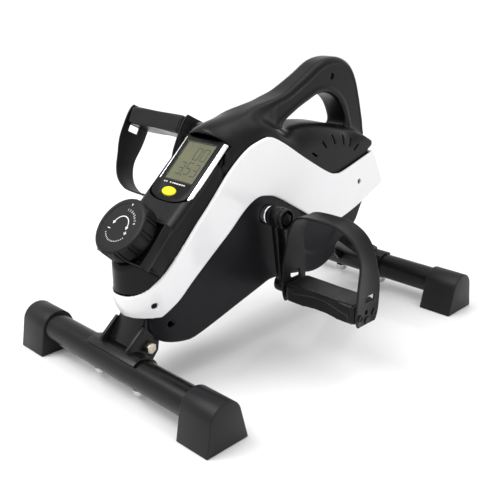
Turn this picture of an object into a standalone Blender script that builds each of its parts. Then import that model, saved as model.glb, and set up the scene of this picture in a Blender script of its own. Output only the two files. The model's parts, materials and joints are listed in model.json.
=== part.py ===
"""Pedal exerciser: a low cycling frame on two cross tubes, with cranks, strapped pedals,
a belt-driven flywheel with a magnetic brake, a console and a carrying handle.

Metres, +Z up. +X is towards the rider's right, -Y is the console end, +Z is up.
The origin is on the floor, under the middle of the machine. Side outlines below are
written as (y, z) in millimetres and turned into metres when a piece is made.
"""
import math

import bmesh
import bpy
from mathutils import Matrix, Vector

MM = 0.001

# ---- driving dimensions (millimetres unless said) ----
GAP = 0.3                     # clearance between touching pieces
TUBE_R = 19.0                 # cross tubes, 38 mm outside diameter
TUBE_WALL = 1.5
TUBE_HALF = 178.0             # half length of a cross tube
TUBE_Y = 245.0                # cross tubes sit this far in front of and behind the middle
TUBE_Z = 34.0                 # height of the cross tubes' axes
FOOT_IN, FOOT_OUT = 135.0, 185.0
FOOT_BASE = 29.0              # half width of a foot on the floor
FOOT_R = 23.0                 # radius of a foot's arched top
FOOT_IN_SHIFT = 1.5           # a foot sits this far towards the machine from its tube's axis
SPINDLE = (-32.0, 183.0)      # crank spindle axis (y, z)
CRANK_LEN = 95.0
CRANK_TILT = 7.7              # degrees the right crank leans to the rear of straight down
LEFT_PEDAL_TURN = 152.0       # degrees the left pedal is turned over from the right one
FLY = (72.0, 150.0)           # flywheel axis (y, z)
FLY_R = 58.0
PULLEY_R = 62.0
SMALL_R = 12.0
COVER_HALF = 48.0             # half width over the white side covers
SHELL_HALF = 43.0             # half width over the black casing
WALL = 2.5                    # casing wall
HANDLE_HALF = 19.0
SLOPE = 46.0                  # degrees, the front face above the horizontal
FACE_O = (-213.0, 187.0)      # point on the tension knob's axis (y, z)
KNOB_R = 37.5
BRAKE_PIVOT = (5.0, 196.0)    # pin the magnet bracket swings on (y, z)
PEDAL_IN, PEDAL_OUT = 84.0, 196.0
PEDAL_W, PEDAL_T = 44.0, 26.0
STRAP_T = 2.6


# ---- scene and materials ----
def clear_scene():
    for o in list(bpy.data.objects):
        bpy.data.objects.remove(o, do_unlink=True)


clear_scene()
PARTS = bpy.data.collections.new("pedal_exerciser")
CUTTERS = bpy.data.collections.new("cutters")
bpy.context.scene.collection.children.link(PARTS)
bpy.context.scene.collection.children.link(CUTTERS)


def material(name, rgb, roughness, metallic=0.0):
    m = bpy.data.materials.new(name)
    m.use_nodes = True
    b = m.node_tree.nodes["Principled BSDF"]
    b.inputs["Base Color"].default_value = (*rgb, 1)
    b.inputs["Roughness"].default_value = roughness
    b.inputs["Metallic"].default_value = metallic
    m.diffuse_color = (*rgb, 1)
    return m


M_STEEL_BLACK = material("powder_coat_black", (0.012, 0.012, 0.013), 0.38)
M_RUBBER = material("foot_rubber", (0.018, 0.018, 0.02), 0.55)
M_CASE = material("casing_black", (0.014, 0.014, 0.016), 0.42)
M_WHITE = material("cover_white", (0.86, 0.86, 0.87), 0.22)
M_CHROME = material("chrome", (0.8, 0.8, 0.82), 0.08, 1.0)
M_STEEL = material("zinc_steel", (0.55, 0.53, 0.5), 0.3, 1.0)
M_BRASS = material("bolt_brass", (0.6, 0.5, 0.38), 0.3, 1.0)
M_LCD = material("lcd_olive", (0.17, 0.17, 0.075), 0.3)
M_WINDOW = material("window_clear", (0.8, 0.82, 0.78), 0.05)
M_YELLOW = material("button_yellow", (0.9, 0.85, 0.04), 0.35)
M_CIRCUIT = material("circuit_green", (0.02, 0.16, 0.06), 0.5)
M_BELT = material("belt_rubber", (0.02, 0.02, 0.02), 0.7)
M_MAGNET = material("magnet_nickel", (0.5, 0.5, 0.5), 0.25, 1.0)
M_CAST = material("cast_iron", (0.09, 0.09, 0.09), 0.6, 0.8)
M_PEDAL = material("pedal_rubber", (0.012, 0.012, 0.012), 0.45)
M_STRAP = material("strap_rubber", (0.02, 0.02, 0.021), 0.5)


# ---- outline helpers, all on (y, z) lists in millimetres ----
def arc(c, r, a0, a1, n):
    return [(c[0] + r * math.cos(math.radians(a0 + (a1 - a0) * i / n)),
             c[1] + r * math.sin(math.radians(a0 + (a1 - a0) * i / n))) for i in range(n + 1)]


def circle(c, r, n):
    return arc(c, r, 0, 360, n)[:-1]


def area(p):
    return 0.5 * sum(p[i - 1][0] * p[i][1] - p[i][0] * p[i - 1][1] for i in range(len(p)))


def through(points, n=3):
    """Open smooth curve through the points (Catmull-Rom), n steps a span."""
    out = []
    m = len(points)
    for i in range(m - 1):
        p0, p1, p2, p3 = points[max(i - 1, 0)], points[i], points[i + 1], points[min(i + 2, m - 1)]
        for k in range(n):
            t = k / n
            out.append(tuple(0.5 * (2 * b + (c - a) * t + (2 * a - 5 * b + 4 * c - d) * t * t
                                    + (3 * b - a - 3 * c + d) * t ** 3)
                             for a, b, c, d in zip(p0, p1, p2, p3)))
    out.append(tuple(points[-1]))
    return out


def inset(p, d):
    """Outline moved inwards by d (outwards if d is negative), with mitred corners."""
    s = 1 if area(p) > 0 else -1
    out = []
    n = len(p)
    for i in range(n):
        a, b, c = p[i - 1], p[i], p[(i + 1) % n]
        e0 = Vector((b[0] - a[0], b[1] - a[1])).normalized()
        e1 = Vector((c[0] - b[0], c[1] - b[1])).normalized()
        n0, n1 = Vector((-e0.y, e0.x)) * s, Vector((-e1.y, e1.x)) * s
        m = n0 + n1
        if m.length < 1e-6:
            m = n0
        m.normalize()
        k = d / max(m.dot(n0), 0.45)
        out.append((b[0] + m.x * k, b[1] + m.y * k))
    return out


# ---- solid helpers ----
def new_object(name, mesh, mat, coll=None):
    o = bpy.data.objects.new(name, mesh)
    (coll or PARTS).objects.link(o)
    if mat:
        mesh.materials.clear()
        mesh.materials.append(mat)
    return o


AX_X = Matrix(((0, 0, 1, 0), (1, 0, 0, 0), (0, 1, 0, 0), (0, 0, 0, 1)))   # outline (y, z), depth along X
AX_Y = Matrix(((1, 0, 0, 0), (0, 0, 1, 0), (0, 1, 0, 0), (0, 0, 0, 1)))   # outline (x, z), depth along Y
AX_Z = Matrix.Identity(4)                                                # outline (x, y), depth along Z


def prism_mesh(name, outline, lo, hi, frame=AX_X, holes=()):
    """Flat outline as a filled 2D curve, made a closed mesh from depth lo to hi (millimetres)."""
    cu = bpy.data.curves.new(name, "CURVE")
    cu.dimensions = "2D"
    cu.fill_mode = "BOTH"
    cu.extrude = abs(hi - lo) / 2 * MM
    for pts in (outline, *holes):
        sp = cu.splines.new("POLY")
        sp.points.add(len(pts) - 1)
        for q, (u, v) in zip(sp.points, pts):
            q.co = (u * MM, v * MM, 0, 1)
        sp.use_cyclic_u = True
    tmp = bpy.data.objects.new(name + "_outline", cu)
    CUTTERS.objects.link(tmp)
    bpy.context.view_layer.update()
    me = bpy.data.meshes.new_from_object(tmp.evaluated_get(bpy.context.evaluated_depsgraph_get()))
    bpy.data.objects.remove(tmp, do_unlink=True)
    me.name = name
    bm = bmesh.new()
    bm.from_mesh(me)
    bmesh.ops.remove_doubles(bm, verts=bm.verts, dist=2e-6)
    bmesh.ops.transform(bm, matrix=frame @ Matrix.Translation((0, 0, (lo + hi) / 2 * MM)), verts=bm.verts)
    bmesh.ops.recalc_face_normals(bm, faces=bm.faces)
    bm.to_mesh(me)
    bm.free()
    return me


def prism(name, outline, lo, hi, mat=None, frame=AX_X, holes=(), coll=None):
    return new_object(name, prism_mesh(name, outline, lo, hi, frame, holes), mat, coll)


def rod_mesh(name, r, lo, hi, segs=24, r2=None):
    """Cylinder or cone along +Z of its own frame, from lo to hi."""
    bm = bmesh.new()
    bmesh.ops.create_cone(bm, cap_ends=True, segments=segs, radius1=r * MM,
                          radius2=(r if r2 is None else r2) * MM, depth=(hi - lo) * MM,
                          matrix=Matrix.Translation((0, 0, (lo + hi) / 2 * MM)))
    me = bpy.data.meshes.new(name)
    bm.to_mesh(me)
    bm.free()
    return me


def place_x(y, z):
    """Own +Z along world +X, through (y, z)."""
    return Matrix.Translation((0, y * MM, z * MM)) @ AX_X.to_3x3().to_4x4()


def bake(o, matrix):
    o.data.transform(matrix)
    return o


def rod(name, r, lo, hi, matrix, mat=None, segs=24, coll=None, r2=None):
    return bake(new_object(name, rod_mesh(name, r, lo, hi, segs, r2), mat, coll), matrix)


def cutter_rod(r, lo, hi, matrix, segs=20):
    return rod("cut", r, lo, hi, matrix, segs=segs, coll=CUTTERS)


def cutter_prism(outline, lo, hi, frame=AX_X):
    return prism("cut", outline, lo, hi, frame=frame, coll=CUTTERS)


def box_mesh(name, sx, sy, sz, matrix):
    bm = bmesh.new()
    bmesh.ops.create_cube(bm, size=1.0, matrix=matrix @ Matrix.Diagonal((sx * MM, sy * MM, sz * MM, 1)))
    me = bpy.data.meshes.new(name)
    bm.to_mesh(me)
    bm.free()
    return me


def combine(base, op, *others, solver="EXACT"):
    """Boolean of base with each other object; the result is kept in base and the others go."""
    for other in others:
        md = base.modifiers.new("b", "BOOLEAN")
        md.operation = op
        md.object = other
        md.solver = solver
        bpy.context.view_layer.update()
        me = bpy.data.meshes.new_from_object(base.evaluated_get(bpy.context.evaluated_depsgraph_get()))
        base.modifiers.remove(md)
        old, base.data = base.data, me
        bpy.data.meshes.remove(old)
        bpy.data.objects.remove(other, do_unlink=True)
    me = base.data
    bm = bmesh.new()
    bm.from_mesh(me)
    bmesh.ops.remove_doubles(bm, verts=bm.verts, dist=2e-6)
    bmesh.ops.dissolve_degenerate(bm, edges=bm.edges, dist=2e-6)
    bm.to_mesh(me)
    bm.free()
    return base


def ring(name, ro, ri, lo, hi, matrix, mat, segs=24):
    """Hollow turned piece: an open cylinder with Solidify."""
    bm = bmesh.new()
    bmesh.ops.create_cone(bm, cap_ends=False, segments=segs, radius1=ro * MM, radius2=ro * MM,
                          depth=(hi - lo) * MM, matrix=Matrix.Translation((0, 0, (lo + hi) / 2 * MM)))
    me = bpy.data.meshes.new(name)
    bm.to_mesh(me)
    bm.free()
    o = bake(new_object(name, me, mat), matrix)
    so = o.modifiers.new("wall", "SOLIDIFY")
    so.thickness = (ro - ri) * MM
    so.offset = -1
    so.use_even_offset = True
    so.use_rim = True
    return o


def smooth(o, angle=35):
    o.data.shade_smooth()
    o.data.set_sharp_from_angle(angle=math.radians(angle))
    return o


def settle(o):
    """Modifiers on a piece that will be cut are applied first."""
    bpy.context.view_layer.update()
    me = bpy.data.meshes.new_from_object(o.evaluated_get(bpy.context.evaluated_depsgraph_get()))
    o.modifiers.clear()
    old, o.data = o.data, me
    bpy.data.meshes.remove(old)
    return o


def side_name(s):
    return "right" if s > 0 else "left"


def mirror_x(o, s):
    """Right-hand pieces are modelled; s = -1 turns one into its left-hand twin."""
    if s < 0:
        bm = bmesh.new()
        bm.from_mesh(o.data)
        bmesh.ops.transform(bm, matrix=Matrix.Diagonal((-1, 1, 1, 1)), verts=bm.verts)
        bmesh.ops.reverse_faces(bm, faces=bm.faces)
        bm.to_mesh(o.data)
        bm.free()
    return o


# ---- the sloping front face: its own frame, u up the slope, n outwards ----
UV = (math.cos(math.radians(SLOPE)), math.sin(math.radians(SLOPE)))
NV = (-UV[1], UV[0])


def on_face(u, h):
    return (FACE_O[0] + UV[0] * u + NV[0] * h, FACE_O[1] + UV[1] * u + NV[1] * h)


def face_matrix(u=0.0, h=0.0):
    """Own X = world X, own Y = up the slope, own Z = outwards."""
    y, z = on_face(u, h)
    return Matrix(((1, 0, 0, 0), (0, UV[0], NV[0], y * MM), (0, UV[1], NV[1], z * MM), (0, 0, 0, 1)))


# the console's flat face has a frame of its own, centred on the display
CONSOLE_SLOPE = 43.0
CONSOLE_O = (-122.5, 260.8)
UC = (math.cos(math.radians(CONSOLE_SLOPE)), math.sin(math.radians(CONSOLE_SLOPE)))
NC = (-UC[1], UC[0])


def console_matrix(u=0.0, h=0.0, x=0.0):
    y, z = CONSOLE_O[0] + UC[0] * u + NC[0] * h, CONSOLE_O[1] + UC[1] * u + NC[1] * h
    return Matrix(((1, 0, 0, x * MM), (0, UC[0], NC[0], y * MM), (0, UC[1], NC[1], z * MM), (0, 0, 0, 1)))


# ================= cross tubes, feet, brackets =================
def foot_outline(yc):
    """Arched top, with straight sides that leave it tangentially and flare to the floor."""
    c = yc - math.copysign(FOOT_IN_SHIFT, yc)
    a = math.degrees(math.acos(FOOT_R / math.hypot(FOOT_BASE, TUBE_Z)) - math.atan2(TUBE_Z, FOOT_BASE))
    return [(c + FOOT_BASE, 0.0)] + arc((c, TUBE_Z), FOOT_R, a, 180 - a, 14) + [(c - FOOT_BASE, 0.0)]


def saddle_outline(yc, s):
    """Curved plate that hugs the top and inner side of the tube; s = -1 front, +1 rear."""
    a0, a1 = (-12, 128)
    outer = arc((0, 0), TUBE_R + GAP + 3.2, a0, a1, 9)
    inner = arc((0, 0), TUBE_R + GAP, a1, a0, 9)
    return [(yc - s * y, TUBE_Z + z) for y, z in outer + inner]


def ear_outline(yc, s):
    """Side plate of the channel that takes the frame's neck."""
    r = TUBE_R + GAP + 1.2
    under = arc((0, 0), r, 2, 104, 7)
    top = [(-7.0, 27.0), (19.0, 49.0)] if s < 0 else [(-4.0, 26.0), (15.0, 37.0), (30.0, 33.0)]
    top += [(41.0, 24.0), (39.0, 12.0), (28.0, 0.0)]
    return [(yc - s * y, TUBE_Z + z) for y, z in under + top]


FRAME_BOLT = {-1: (-221.0, 56.0), 1: (221.0, 56.0)}
TUBE_BOLT_X = 39.0

for end, s in (("front", -1), ("rear", 1)):
    yc = s * TUBE_Y
    at = place_x(yc, TUBE_Z)
    tube = settle(ring(f"{end}_tube", TUBE_R, TUBE_R - TUBE_WALL, -TUBE_HALF, TUBE_HALF, at, M_STEEL_BLACK, 32))
    for bx in (-TUBE_BOLT_X, TUBE_BOLT_X):
        down = Matrix.Translation((bx * MM, yc * MM, 0))
        combine(tube, "DIFFERENCE", cutter_rod(4.4, 5, 60, down, 12))
    smooth(tube)
    # feet
    for side in (1, -1):
        foot = prism(f"foot_{end}_{side_name(side)}", foot_outline(yc), FOOT_IN, FOOT_OUT, M_RUBBER)
        combine(foot, "DIFFERENCE", cutter_rod(TUBE_R + GAP, FOOT_IN - 2, TUBE_HALF + 1.0, at, 32))
        mirror_x(foot, side)
        smooth(foot, 30)
    # bracket: saddle, two ears and a floor plate between them
    br = prism(f"{end}_bracket", saddle_outline(yc, s), -47, 47, M_STEEL_BLACK)
    for side in (1, -1):
        ear = prism("ear", ear_outline(yc, s), 23.2 * side, 27.2 * side, coll=CUTTERS)
        combine(br, "UNION", ear)
    nut = rod("nut", 7.6, 26.9, 33.5, place_x(*FRAME_BOLT[s]) @ Matrix.Diagonal((1, 1, -1, 1)), segs=6, coll=CUTTERS)
    nut.data.flip_normals()
    combine(br, "UNION", nut)
    combine(br, "DIFFERENCE", cutter_rod(4.4, -60, 60, place_x(*FRAME_BOLT[s]), 16))
    for bx in (-TUBE_BOLT_X, TUBE_BOLT_X):
        combine(br, "DIFFERENCE", cutter_rod(4.4, 5, 55.4, Matrix.Translation((bx * MM, yc * MM, 0)), 12))
    smooth(br, 30)
    # bolts from below through the tube, domed heads
    for side in (1, -1):
        bx = TUBE_BOLT_X * side
        head_top = TUBE_Z - TUBE_R - GAP
        prof = [(0.0, 4.0), (4.5, 4.6), (7.6, 6.6), (9.0, 9.2), (9.0, head_top), (4.0, head_top), (4.0, 55.0), (0.0, 55.0)]
        bm = bmesh.new()
        vs = [bm.verts.new((r * MM, 0, z * MM)) for r, z in reversed(prof)]
        for a, b in zip(vs, vs[1:]):
            bm.edges.new((a, b))
        me = bpy.data.meshes.new(f"tube_bolt_{end}_{side_name(side)}")
        bm.to_mesh(me)
        bm.free()
        bolt = new_object(me.name, me, M_STEEL)
        bake(bolt, Matrix.Identity(4))
        sc = bolt.modifiers.new("turn", "SCREW")
        sc.steps = sc.render_steps = 16
        sc.use_merge_vertices = True
        sc.merge_threshold = 1e-6
        bolt.location = (bx * MM, yc * MM, 0)
        bolt.data.shade_smooth()
    # bolt across the bracket and the neck
    fb = rod(f"{end}_frame_bolt", 4.0, -35.0, 27.4, place_x(*FRAME_BOLT[s]), M_BRASS, 16)
    combine(fb, "UNION", rod("hd", 7.2, 27.5, 35.0, place_x(*FRAME_BOLT[s]), segs=6, coll=CUTTERS),
            rod("fl", 4.0, 27.0, 29.0, place_x(*FRAME_BOLT[s]), segs=16, coll=CUTTERS))
    smooth(fb, 30)

# ================= main frame =================
plate = [(-214, 118), (-200, 98), (-150, 92), (-60, 118), (40, 118), (110, 112), (140, 96), (158, 112),
         (120, 150), (100, 178), (72, 186), (20, 190), (-10, 212), (-55, 210), (-120, 160), (-190, 136)]
front_neck = [(-186, 138), (-212, 138), (-231, 100), (-241, 60)] + arc((-TUBE_Y, TUBE_Z), 23.3, 82, 46, 4) \
    + arc((-221, 56), 9, 225, 340, 6) + [(-200, 100)]
front_hollow = [(-190.5, 134.5), (-210, 134.5), (-228.6, 100), (-238.2, 60), (-238.2, 40), (-214.6, 40), (-214.6, 56), (-202.4, 100)]
rear_neck = arc((221, 56), 9, 53, -127, 8) + [(150, 95), (127, 112), (134, 135), (158, 117)]
rear_hollow = [(241.2, 49.4), (156.8, 115.2), (136.2, 131.0), (130.2, 113.4), (151.3, 96.9), (233, 38.6)]
frame = rod("main_frame", 19, -34, 14, place_x(*SPINDLE), M_STEEL_BLACK, 24)
combine(frame, "UNION",
        prism("pl", plate, -3, 3, coll=CUTTERS),
        rod("hub", 16, -12, 13.7, place_x(*FLY), segs=20, coll=CUTTERS),
        prism("n", front_neck, -22.6, 22.6, coll=CUTTERS),
        prism("n", rear_neck, -22.6, 22.6, coll=CUTTERS),
        rod("pin", 3.0, -33, -2, place_x(*BRAKE_PIVOT), segs=12, coll=CUTTERS))
combine(frame, "DIFFERENCE",
        cutter_rod(14.3, -40, 20, place_x(*SPINDLE), 24),
        cutter_rod(10.3, -20, 20, place_x(*FLY), 20),
        cutter_prism(front_hollow, -20.6, 20.6),
        cutter_prism(rear_hollow, -20.6, 20.6),
        cutter_rod(4.4, -40, 40, place_x(*FRAME_BOLT[-1]), 12),
        cutter_rod(4.4, -40, 40, place_x(*FRAME_BOLT[1]), 12))
smooth(frame, 30)

for side, (lo, hi) in ((1, (4, 14)), (-1, (-34, -24))):
    smooth(ring(f"spindle_bearing_{side_name(side)}", 14.0, 8.8, lo, hi, place_x(*SPINDLE), M_STEEL, 24))

# ================= casing =================
# outlines of the casing seen from the side
NOSE_X = -246.0
MIDLINE = [(NOSE_X, 121), (-205, 126), (-180, 143), (-150, 170), (-100, 216), (-70, 240), (-45, 247),
           (-15, 236), (40, 208), (95, 178), (140, 182), (200, 206)]
COVER_TOP = [(NOSE_X - 2, 140), (-215, 147), (-193, 164), (-171, 189), (-134, 222), (-101, 255), (-70, 275),
             (-50, 283), (-31, 284), (-2, 268), (41, 242), (85, 217), (102, 212), (123, 214), (191, 236)]
COVER_LOW = [(222, 181), (171, 157), (124, 143), (95, 141), (60, 158), (28, 177), (-13, 201), (-33, 208), (-53, 209),
             (-75, 198), (-102, 177), (-150, 137), (-173, 121), (-192, 112), (-214, 104), (-234, 98), (NOSE_X - 2, 99)]
LOWER_EDGE = [(210, 186), (199, 173), (179, 153), (161, 124), (118, 106)] \
    + arc((FLY[0], FLY[1] - 3), 73, -51, -113, 6) \
    + [(-15, 88), (-49, 81), (-146, 54), (-176, 52), (-205, 60), (-226, 84), (NOSE_X + 6, 98)]
FRONT = [(NOSE_X, 146), (-240, 150), (-228, 155), (-190, 195), (-155, 225), (-101, 274), (-98, 290), (-84, 299), (-60, 305), (-25, 315),
         (20, 324), (60, 340), (100, 358), (133, 364), (160, 361), (182, 350), (196, 330), (203, 300), (207, 270),
         (211, 244), (193, 239), (185, 233)]
HAND_HOLE = [(20, 287), (59, 304), (96, 319), (123, 318), (146, 303), (160, 282), (166, 262), (150, 250), (90, 246), (30, 252)]
BODY_TOP = [(NOSE_X, 146), (-240, 150), (-228, 155), (-190, 195), (-155, 225), (-101, 274), (-98, 288), (-84, 296), (-50, 300), (-20, 298),
            (14, 283), (28, 281), (45, 286), (70, 288), (100, 283), (138, 272), (165, 260), (197, 244), (192, 239), (185, 233)]
SHOULDER = [(24, 306), (70, 306), (70, 222)]      # (x, z): the casing's top edge slopes away from the middle


def plan_outline(w, nose, r=50.0):
    """Seen from above: round nose at the front, square at the back. (x, y)."""
    pts = [(-2, nose)]
    for i in range(1, 9):
        a = math.radians(90 * i / 8)
        pts.append((w * math.sin(a), nose + r * (1 - math.cos(a))))
    return pts + [(w, 260), (-2, 260)]


def plan_prism(w, nose):
    return prism("plan", plan_outline(w, nose), 0, 400, frame=AX_Z, coll=CUTTERS)


def clean(points, tol=0.6):
    out = []
    for p in points:
        if not out or math.dist(out[-1], p) > tol:
            out.append(p)
    if math.dist(out[0], out[-1]) <= tol:
        out.pop()
    return out


SCREWS = {"nose": (-224, 117), "rear": (160, 195), "lower": (-192, 79), "handle": (126, 341)}
WELL = 4.2

midline = through(MIDLINE, 2)
low_poly = clean([(y, z - 0.15) for y, z in midline] + LOWER_EDGE)
up_poly = clean([(y, z + 0.15) for y, z in reversed(midline)] + FRONT)
body_poly = clean([(y, z + 0.15) for y, z in reversed(midline)] + BODY_TOP)
cover_poly = clean(through(COVER_TOP, 2) + through(COVER_LOW, 2))


def boss(y, z, hi):
    return rod("boss", 6.0, 0.15, hi, place_x(y, z), segs=12, coll=CUTTERS)


def screw_cuts(o, y, z, s):
    """Right side: head well and clearance hole. Left side: pilot hole."""
    if s > 0:
        combine(o, "DIFFERENCE", cutter_rod(WELL, 12, 60, place_x(y, z), 14), cutter_rod(2.3, -5, 14, place_x(y, z), 10))
    else:
        combine(o, "DIFFERENCE", cutter_rod(2.3, -5, 22, place_x(y, z), 10))


def opened(poly, amount, keep_test):
    """The hollow's outline: inset along the outer skin, run past where the casing halves meet or lie hidden."""
    ins = inset(poly, WALL)
    out = inset(poly, -amount)
    return [a if keep_test(p) else b for p, a, b in zip(poly, ins, out)]


for s in (1, -1):
    nm = side_name(s)
    # lower casing
    low = prism(f"lower_shell_{nm}", low_poly, 0.15, SHELL_HALF, M_CASE)
    combine(low, "INTERSECT", plan_prism(SHELL_HALF, -240))
    hollow = prism("h", opened(low_poly, 3.0, lambda p: p in LOWER_EDGE), -2, SHELL_HALF - WALL, coll=CUTTERS)
    combine(hollow, "INTERSECT", plan_prism(SHELL_HALF - WALL, -240 + WALL))
    combine(low, "DIFFERENCE", hollow)
    combine(low, "UNION", boss(*SCREWS["lower"], SHELL_HALF - 1))
    combine(low, "DIFFERENCE",
            cutter_rod(12.5 + GAP, 30, 60, place_x(*SPINDLE), 24))
    screw_cuts(low, *SCREWS["lower"], s)
    if s > 0:
        combine(low, "DIFFERENCE", cutter_rod(2.3, 20, 50, place_x(*SCREWS["nose"]), 10))
    # openings for the frame's necks
    combine(low, "DIFFERENCE",
            cutter_prism([(-238, 80), (-196, 40), (-176, 70), (-180, 120), (-246, 124)], -1, 23.4),
            cutter_prism([(104, 92), (170, 70), (192, 118), (150, 140), (112, 134)], -1, 23.4))
    smooth(mirror_x(low, s), 30)

    # upper casing with the handle
    up = prism(f"upper_shell_{nm}", up_poly, 0.15, HANDLE_HALF, M_CASE, holes=[HAND_HOLE])
    bodyp = prism("b", body_poly, 0.15, SHELL_HALF - 0.4, coll=CUTTERS)
    combine(bodyp, "DIFFERENCE", cutter_prism(SHOULDER, -74, 230, AX_Y))
    combine(up, "UNION", bodyp)
    combine(up, "INTERSECT", plan_prism(SHELL_HALF + 0.6, NOSE_X + 0.5))
    hollow = prism("h", opened(up_poly, 3.0, lambda p: p in FRONT), -3, HANDLE_HALF - WALL,
                   holes=[inset(HAND_HOLE, -WALL)], coll=CUTTERS)
    hollow2 = prism("h2", opened(body_poly, 3.0, lambda p: p in BODY_TOP), -3.4, SHELL_HALF - 0.4 - WALL, coll=CUTTERS)
    combine(hollow2, "DIFFERENCE", cutter_prism([(x - 3.6, z - 1) for x, z in SHOULDER], -76, 230, AX_Y))
    combine(hollow, "UNION", hollow2)
    combine(hollow, "INTERSECT", plan_prism(SHELL_HALF - WALL, NOSE_X + WALL + 0.5))
    combine(up, "DIFFERENCE", hollow)
    combine(up, "UNION", boss(*SCREWS["handle"], HANDLE_HALF - 1))
    combine(up, "DIFFERENCE",
            new_object("c", box_mesh("c", 77, 97, 50, console_matrix(-12, 5)), None, CUTTERS),
            new_object("c", box_mesh("c", 76, 46, 44, face_matrix(0, -8)), None, CUTTERS),
            cutter_rod(12.5 + GAP, 30, 60, place_x(*SPINDLE), 24))
    screw_cuts(up, *SCREWS["handle"], s)
    if s > 0:
        combine(up, "DIFFERENCE", cutter_rod(2.3, 20, 50, place_x(*SCREWS["rear"]), 10))
    smooth(mirror_x(up, s), 30)

    # white side cover: a skin over the casing that wraps round the nose and the back
    cov = prism(f"side_cover_{nm}", cover_poly, 0.15, COVER_HALF, M_WHITE)
    combine(cov, "INTERSECT", plan_prism(COVER_HALF, NOSE_X - 2.5))
    inner = prism("h", [(-260, 80), (180, 80), (207, 160), (217.5, 178.5), (187.5, 233.0), (187.5, 300), (-260, 300)], -2, SHELL_HALF + GAP, coll=CUTTERS)
    combine(inner, "INTERSECT", plan_prism(SHELL_HALF + 0.6 + GAP, NOSE_X + 0.1))
    combine(cov, "DIFFERENCE", inner)
    for k in ("nose", "rear"):
        if s > 0:
            combine(cov, "DIFFERENCE", cutter_rod(WELL, 0, 60, place_x(*SCREWS[k]), 14))
    smooth(mirror_x(cov, s), 30)

# ================= casing screws =================
for k, (head, tip) in {"lower": (12.2, -20), "handle": (12.2, -20), "nose": (36.0, 27.0), "rear": (43.6, 35.0)}.items():
    sc = rod(f"casing_screw_{k}", 3.7, head, head + 2.8, place_x(*SCREWS[k]), M_STEEL, 12)
    combine(sc, "UNION", rod("sh", 2.0, tip, head + 0.2, place_x(*SCREWS[k]), segs=8, coll=CUTTERS))
    smooth(sc)


# ================= console =================
def face_box(name, sx, su, sh, u, h, mat=None, x=0.0, coll=None):
    return new_object(name, box_mesh(name, sx, su, sh, console_matrix(u, h, x)), mat, coll)


console_section = [(-37.6, -15), (37.6, -15), (37.6, -9), (33.8, -9), (27.5, 0), (-27.5, 0), (-33.8, -9), (-37.6, -9)]
sweep = console_matrix(-12, 0) @ Matrix(((1, 0, 0, 0), (0, 0, -1, 0), (0, 1, 0, 0), (0, 0, 0, 1)))
housing = prism("console_housing", console_section, -47.5, 47.5, M_CASE, frame=AX_Z)
bake(housing, sweep)
combine(housing, "DIFFERENCE",
        face_box("c", 52.6, 60.6, 4, 0, 0.1, coll=CUTTERS),
        face_box("c", 48.6, 56.0, 6, 0, -0.8, coll=CUTTERS),
        face_box("c", 66, 88, 10, -12, -12, coll=CUTTERS))
button_x, button_u = -2.0, -45.5
button_hole = prism("c", [(12.3 * math.cos(2 * math.pi * i / 20), 6.8 * math.sin(2 * math.pi * i / 20)) for i in range(20)],
                    -20, 20, frame=AX_Z, coll=CUTTERS)
bake(button_hole, console_matrix(button_u, 0, button_x))
combine(housing, "DIFFERENCE", button_hole)
smooth(housing, 30)
face_box("console_window", 52.0, 60.0, 1.5, 0, -1.0, M_WINDOW)
face_box("lcd_panel", 48.0, 55.4, 1.2, 0, -2.9, M_LCD)
board = face_box("console_board", 62, 84, 1.6, -12, -13.6, M_CIRCUIT)
for side in (1, -1):
    face_box(f"console_trim_{side_name(side)}", 3.4, 85, 2.4, -7, -7.4, M_CHROME, x=35.9 * side)
button = prism("console_button", [(11.9 * math.cos(2 * math.pi * i / 20), 6.4 * math.sin(2 * math.pi * i / 20)) for i in range(20)],
               -9.5, 1.6, M_YELLOW, frame=AX_Z)
bake(button, console_matrix(button_u, 0, button_x))
smooth(button, 40)

# ================= tension knob =================
bezel = new_object("knob_bezel", box_mesh("knob_bezel", 84, 58, 12, face_matrix(-2.5, -2.8)), M_CASE)
combine(bezel, "UNION", new_object("c", box_mesh("c", 74, 44, 8, face_matrix(0, -12)), None, CUTTERS))
combine(bezel, "DIFFERENCE",
        new_object("c", box_mesh("c", 79, 53, 20, face_matrix(-2.5, 5)), None, CUTTERS),
        cutter_rod(4.6, -30, 10, face_matrix(), 16))
smooth(bezel, 30)
knob = rod("tension_knob", KNOB_R, 4.0, 25.8, face_matrix(), M_CASE, 40, r2=KNOB_R - 1.2)
combine(knob, "UNION", rod("c", 24, -4.0, 6.0, face_matrix(), segs=24, coll=CUTTERS))
combine(knob, "DIFFERENCE", cutter_rod(4.4, -10, 14, face_matrix(), 16),
        *[new_object("c", box_mesh("c", 3.0, 2.4, 16, face_matrix(0, 13) @ Matrix.Rotation(math.radians(a), 4, "Z")
                                   @ Matrix.Translation((0, KNOB_R * MM, 0))), None, CUTTERS) for a in range(9, 369, 30)])
smooth(knob, 30)
shaft = rod("tension_shaft", 4.0, -31.0, 13.6, face_matrix(), M_STEEL, 16)
combine(shaft, "UNION", rod("drum", 10, -30.0, -22.0, face_matrix(), segs=24, coll=CUTTERS))
smooth(shaft, 30)


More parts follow.
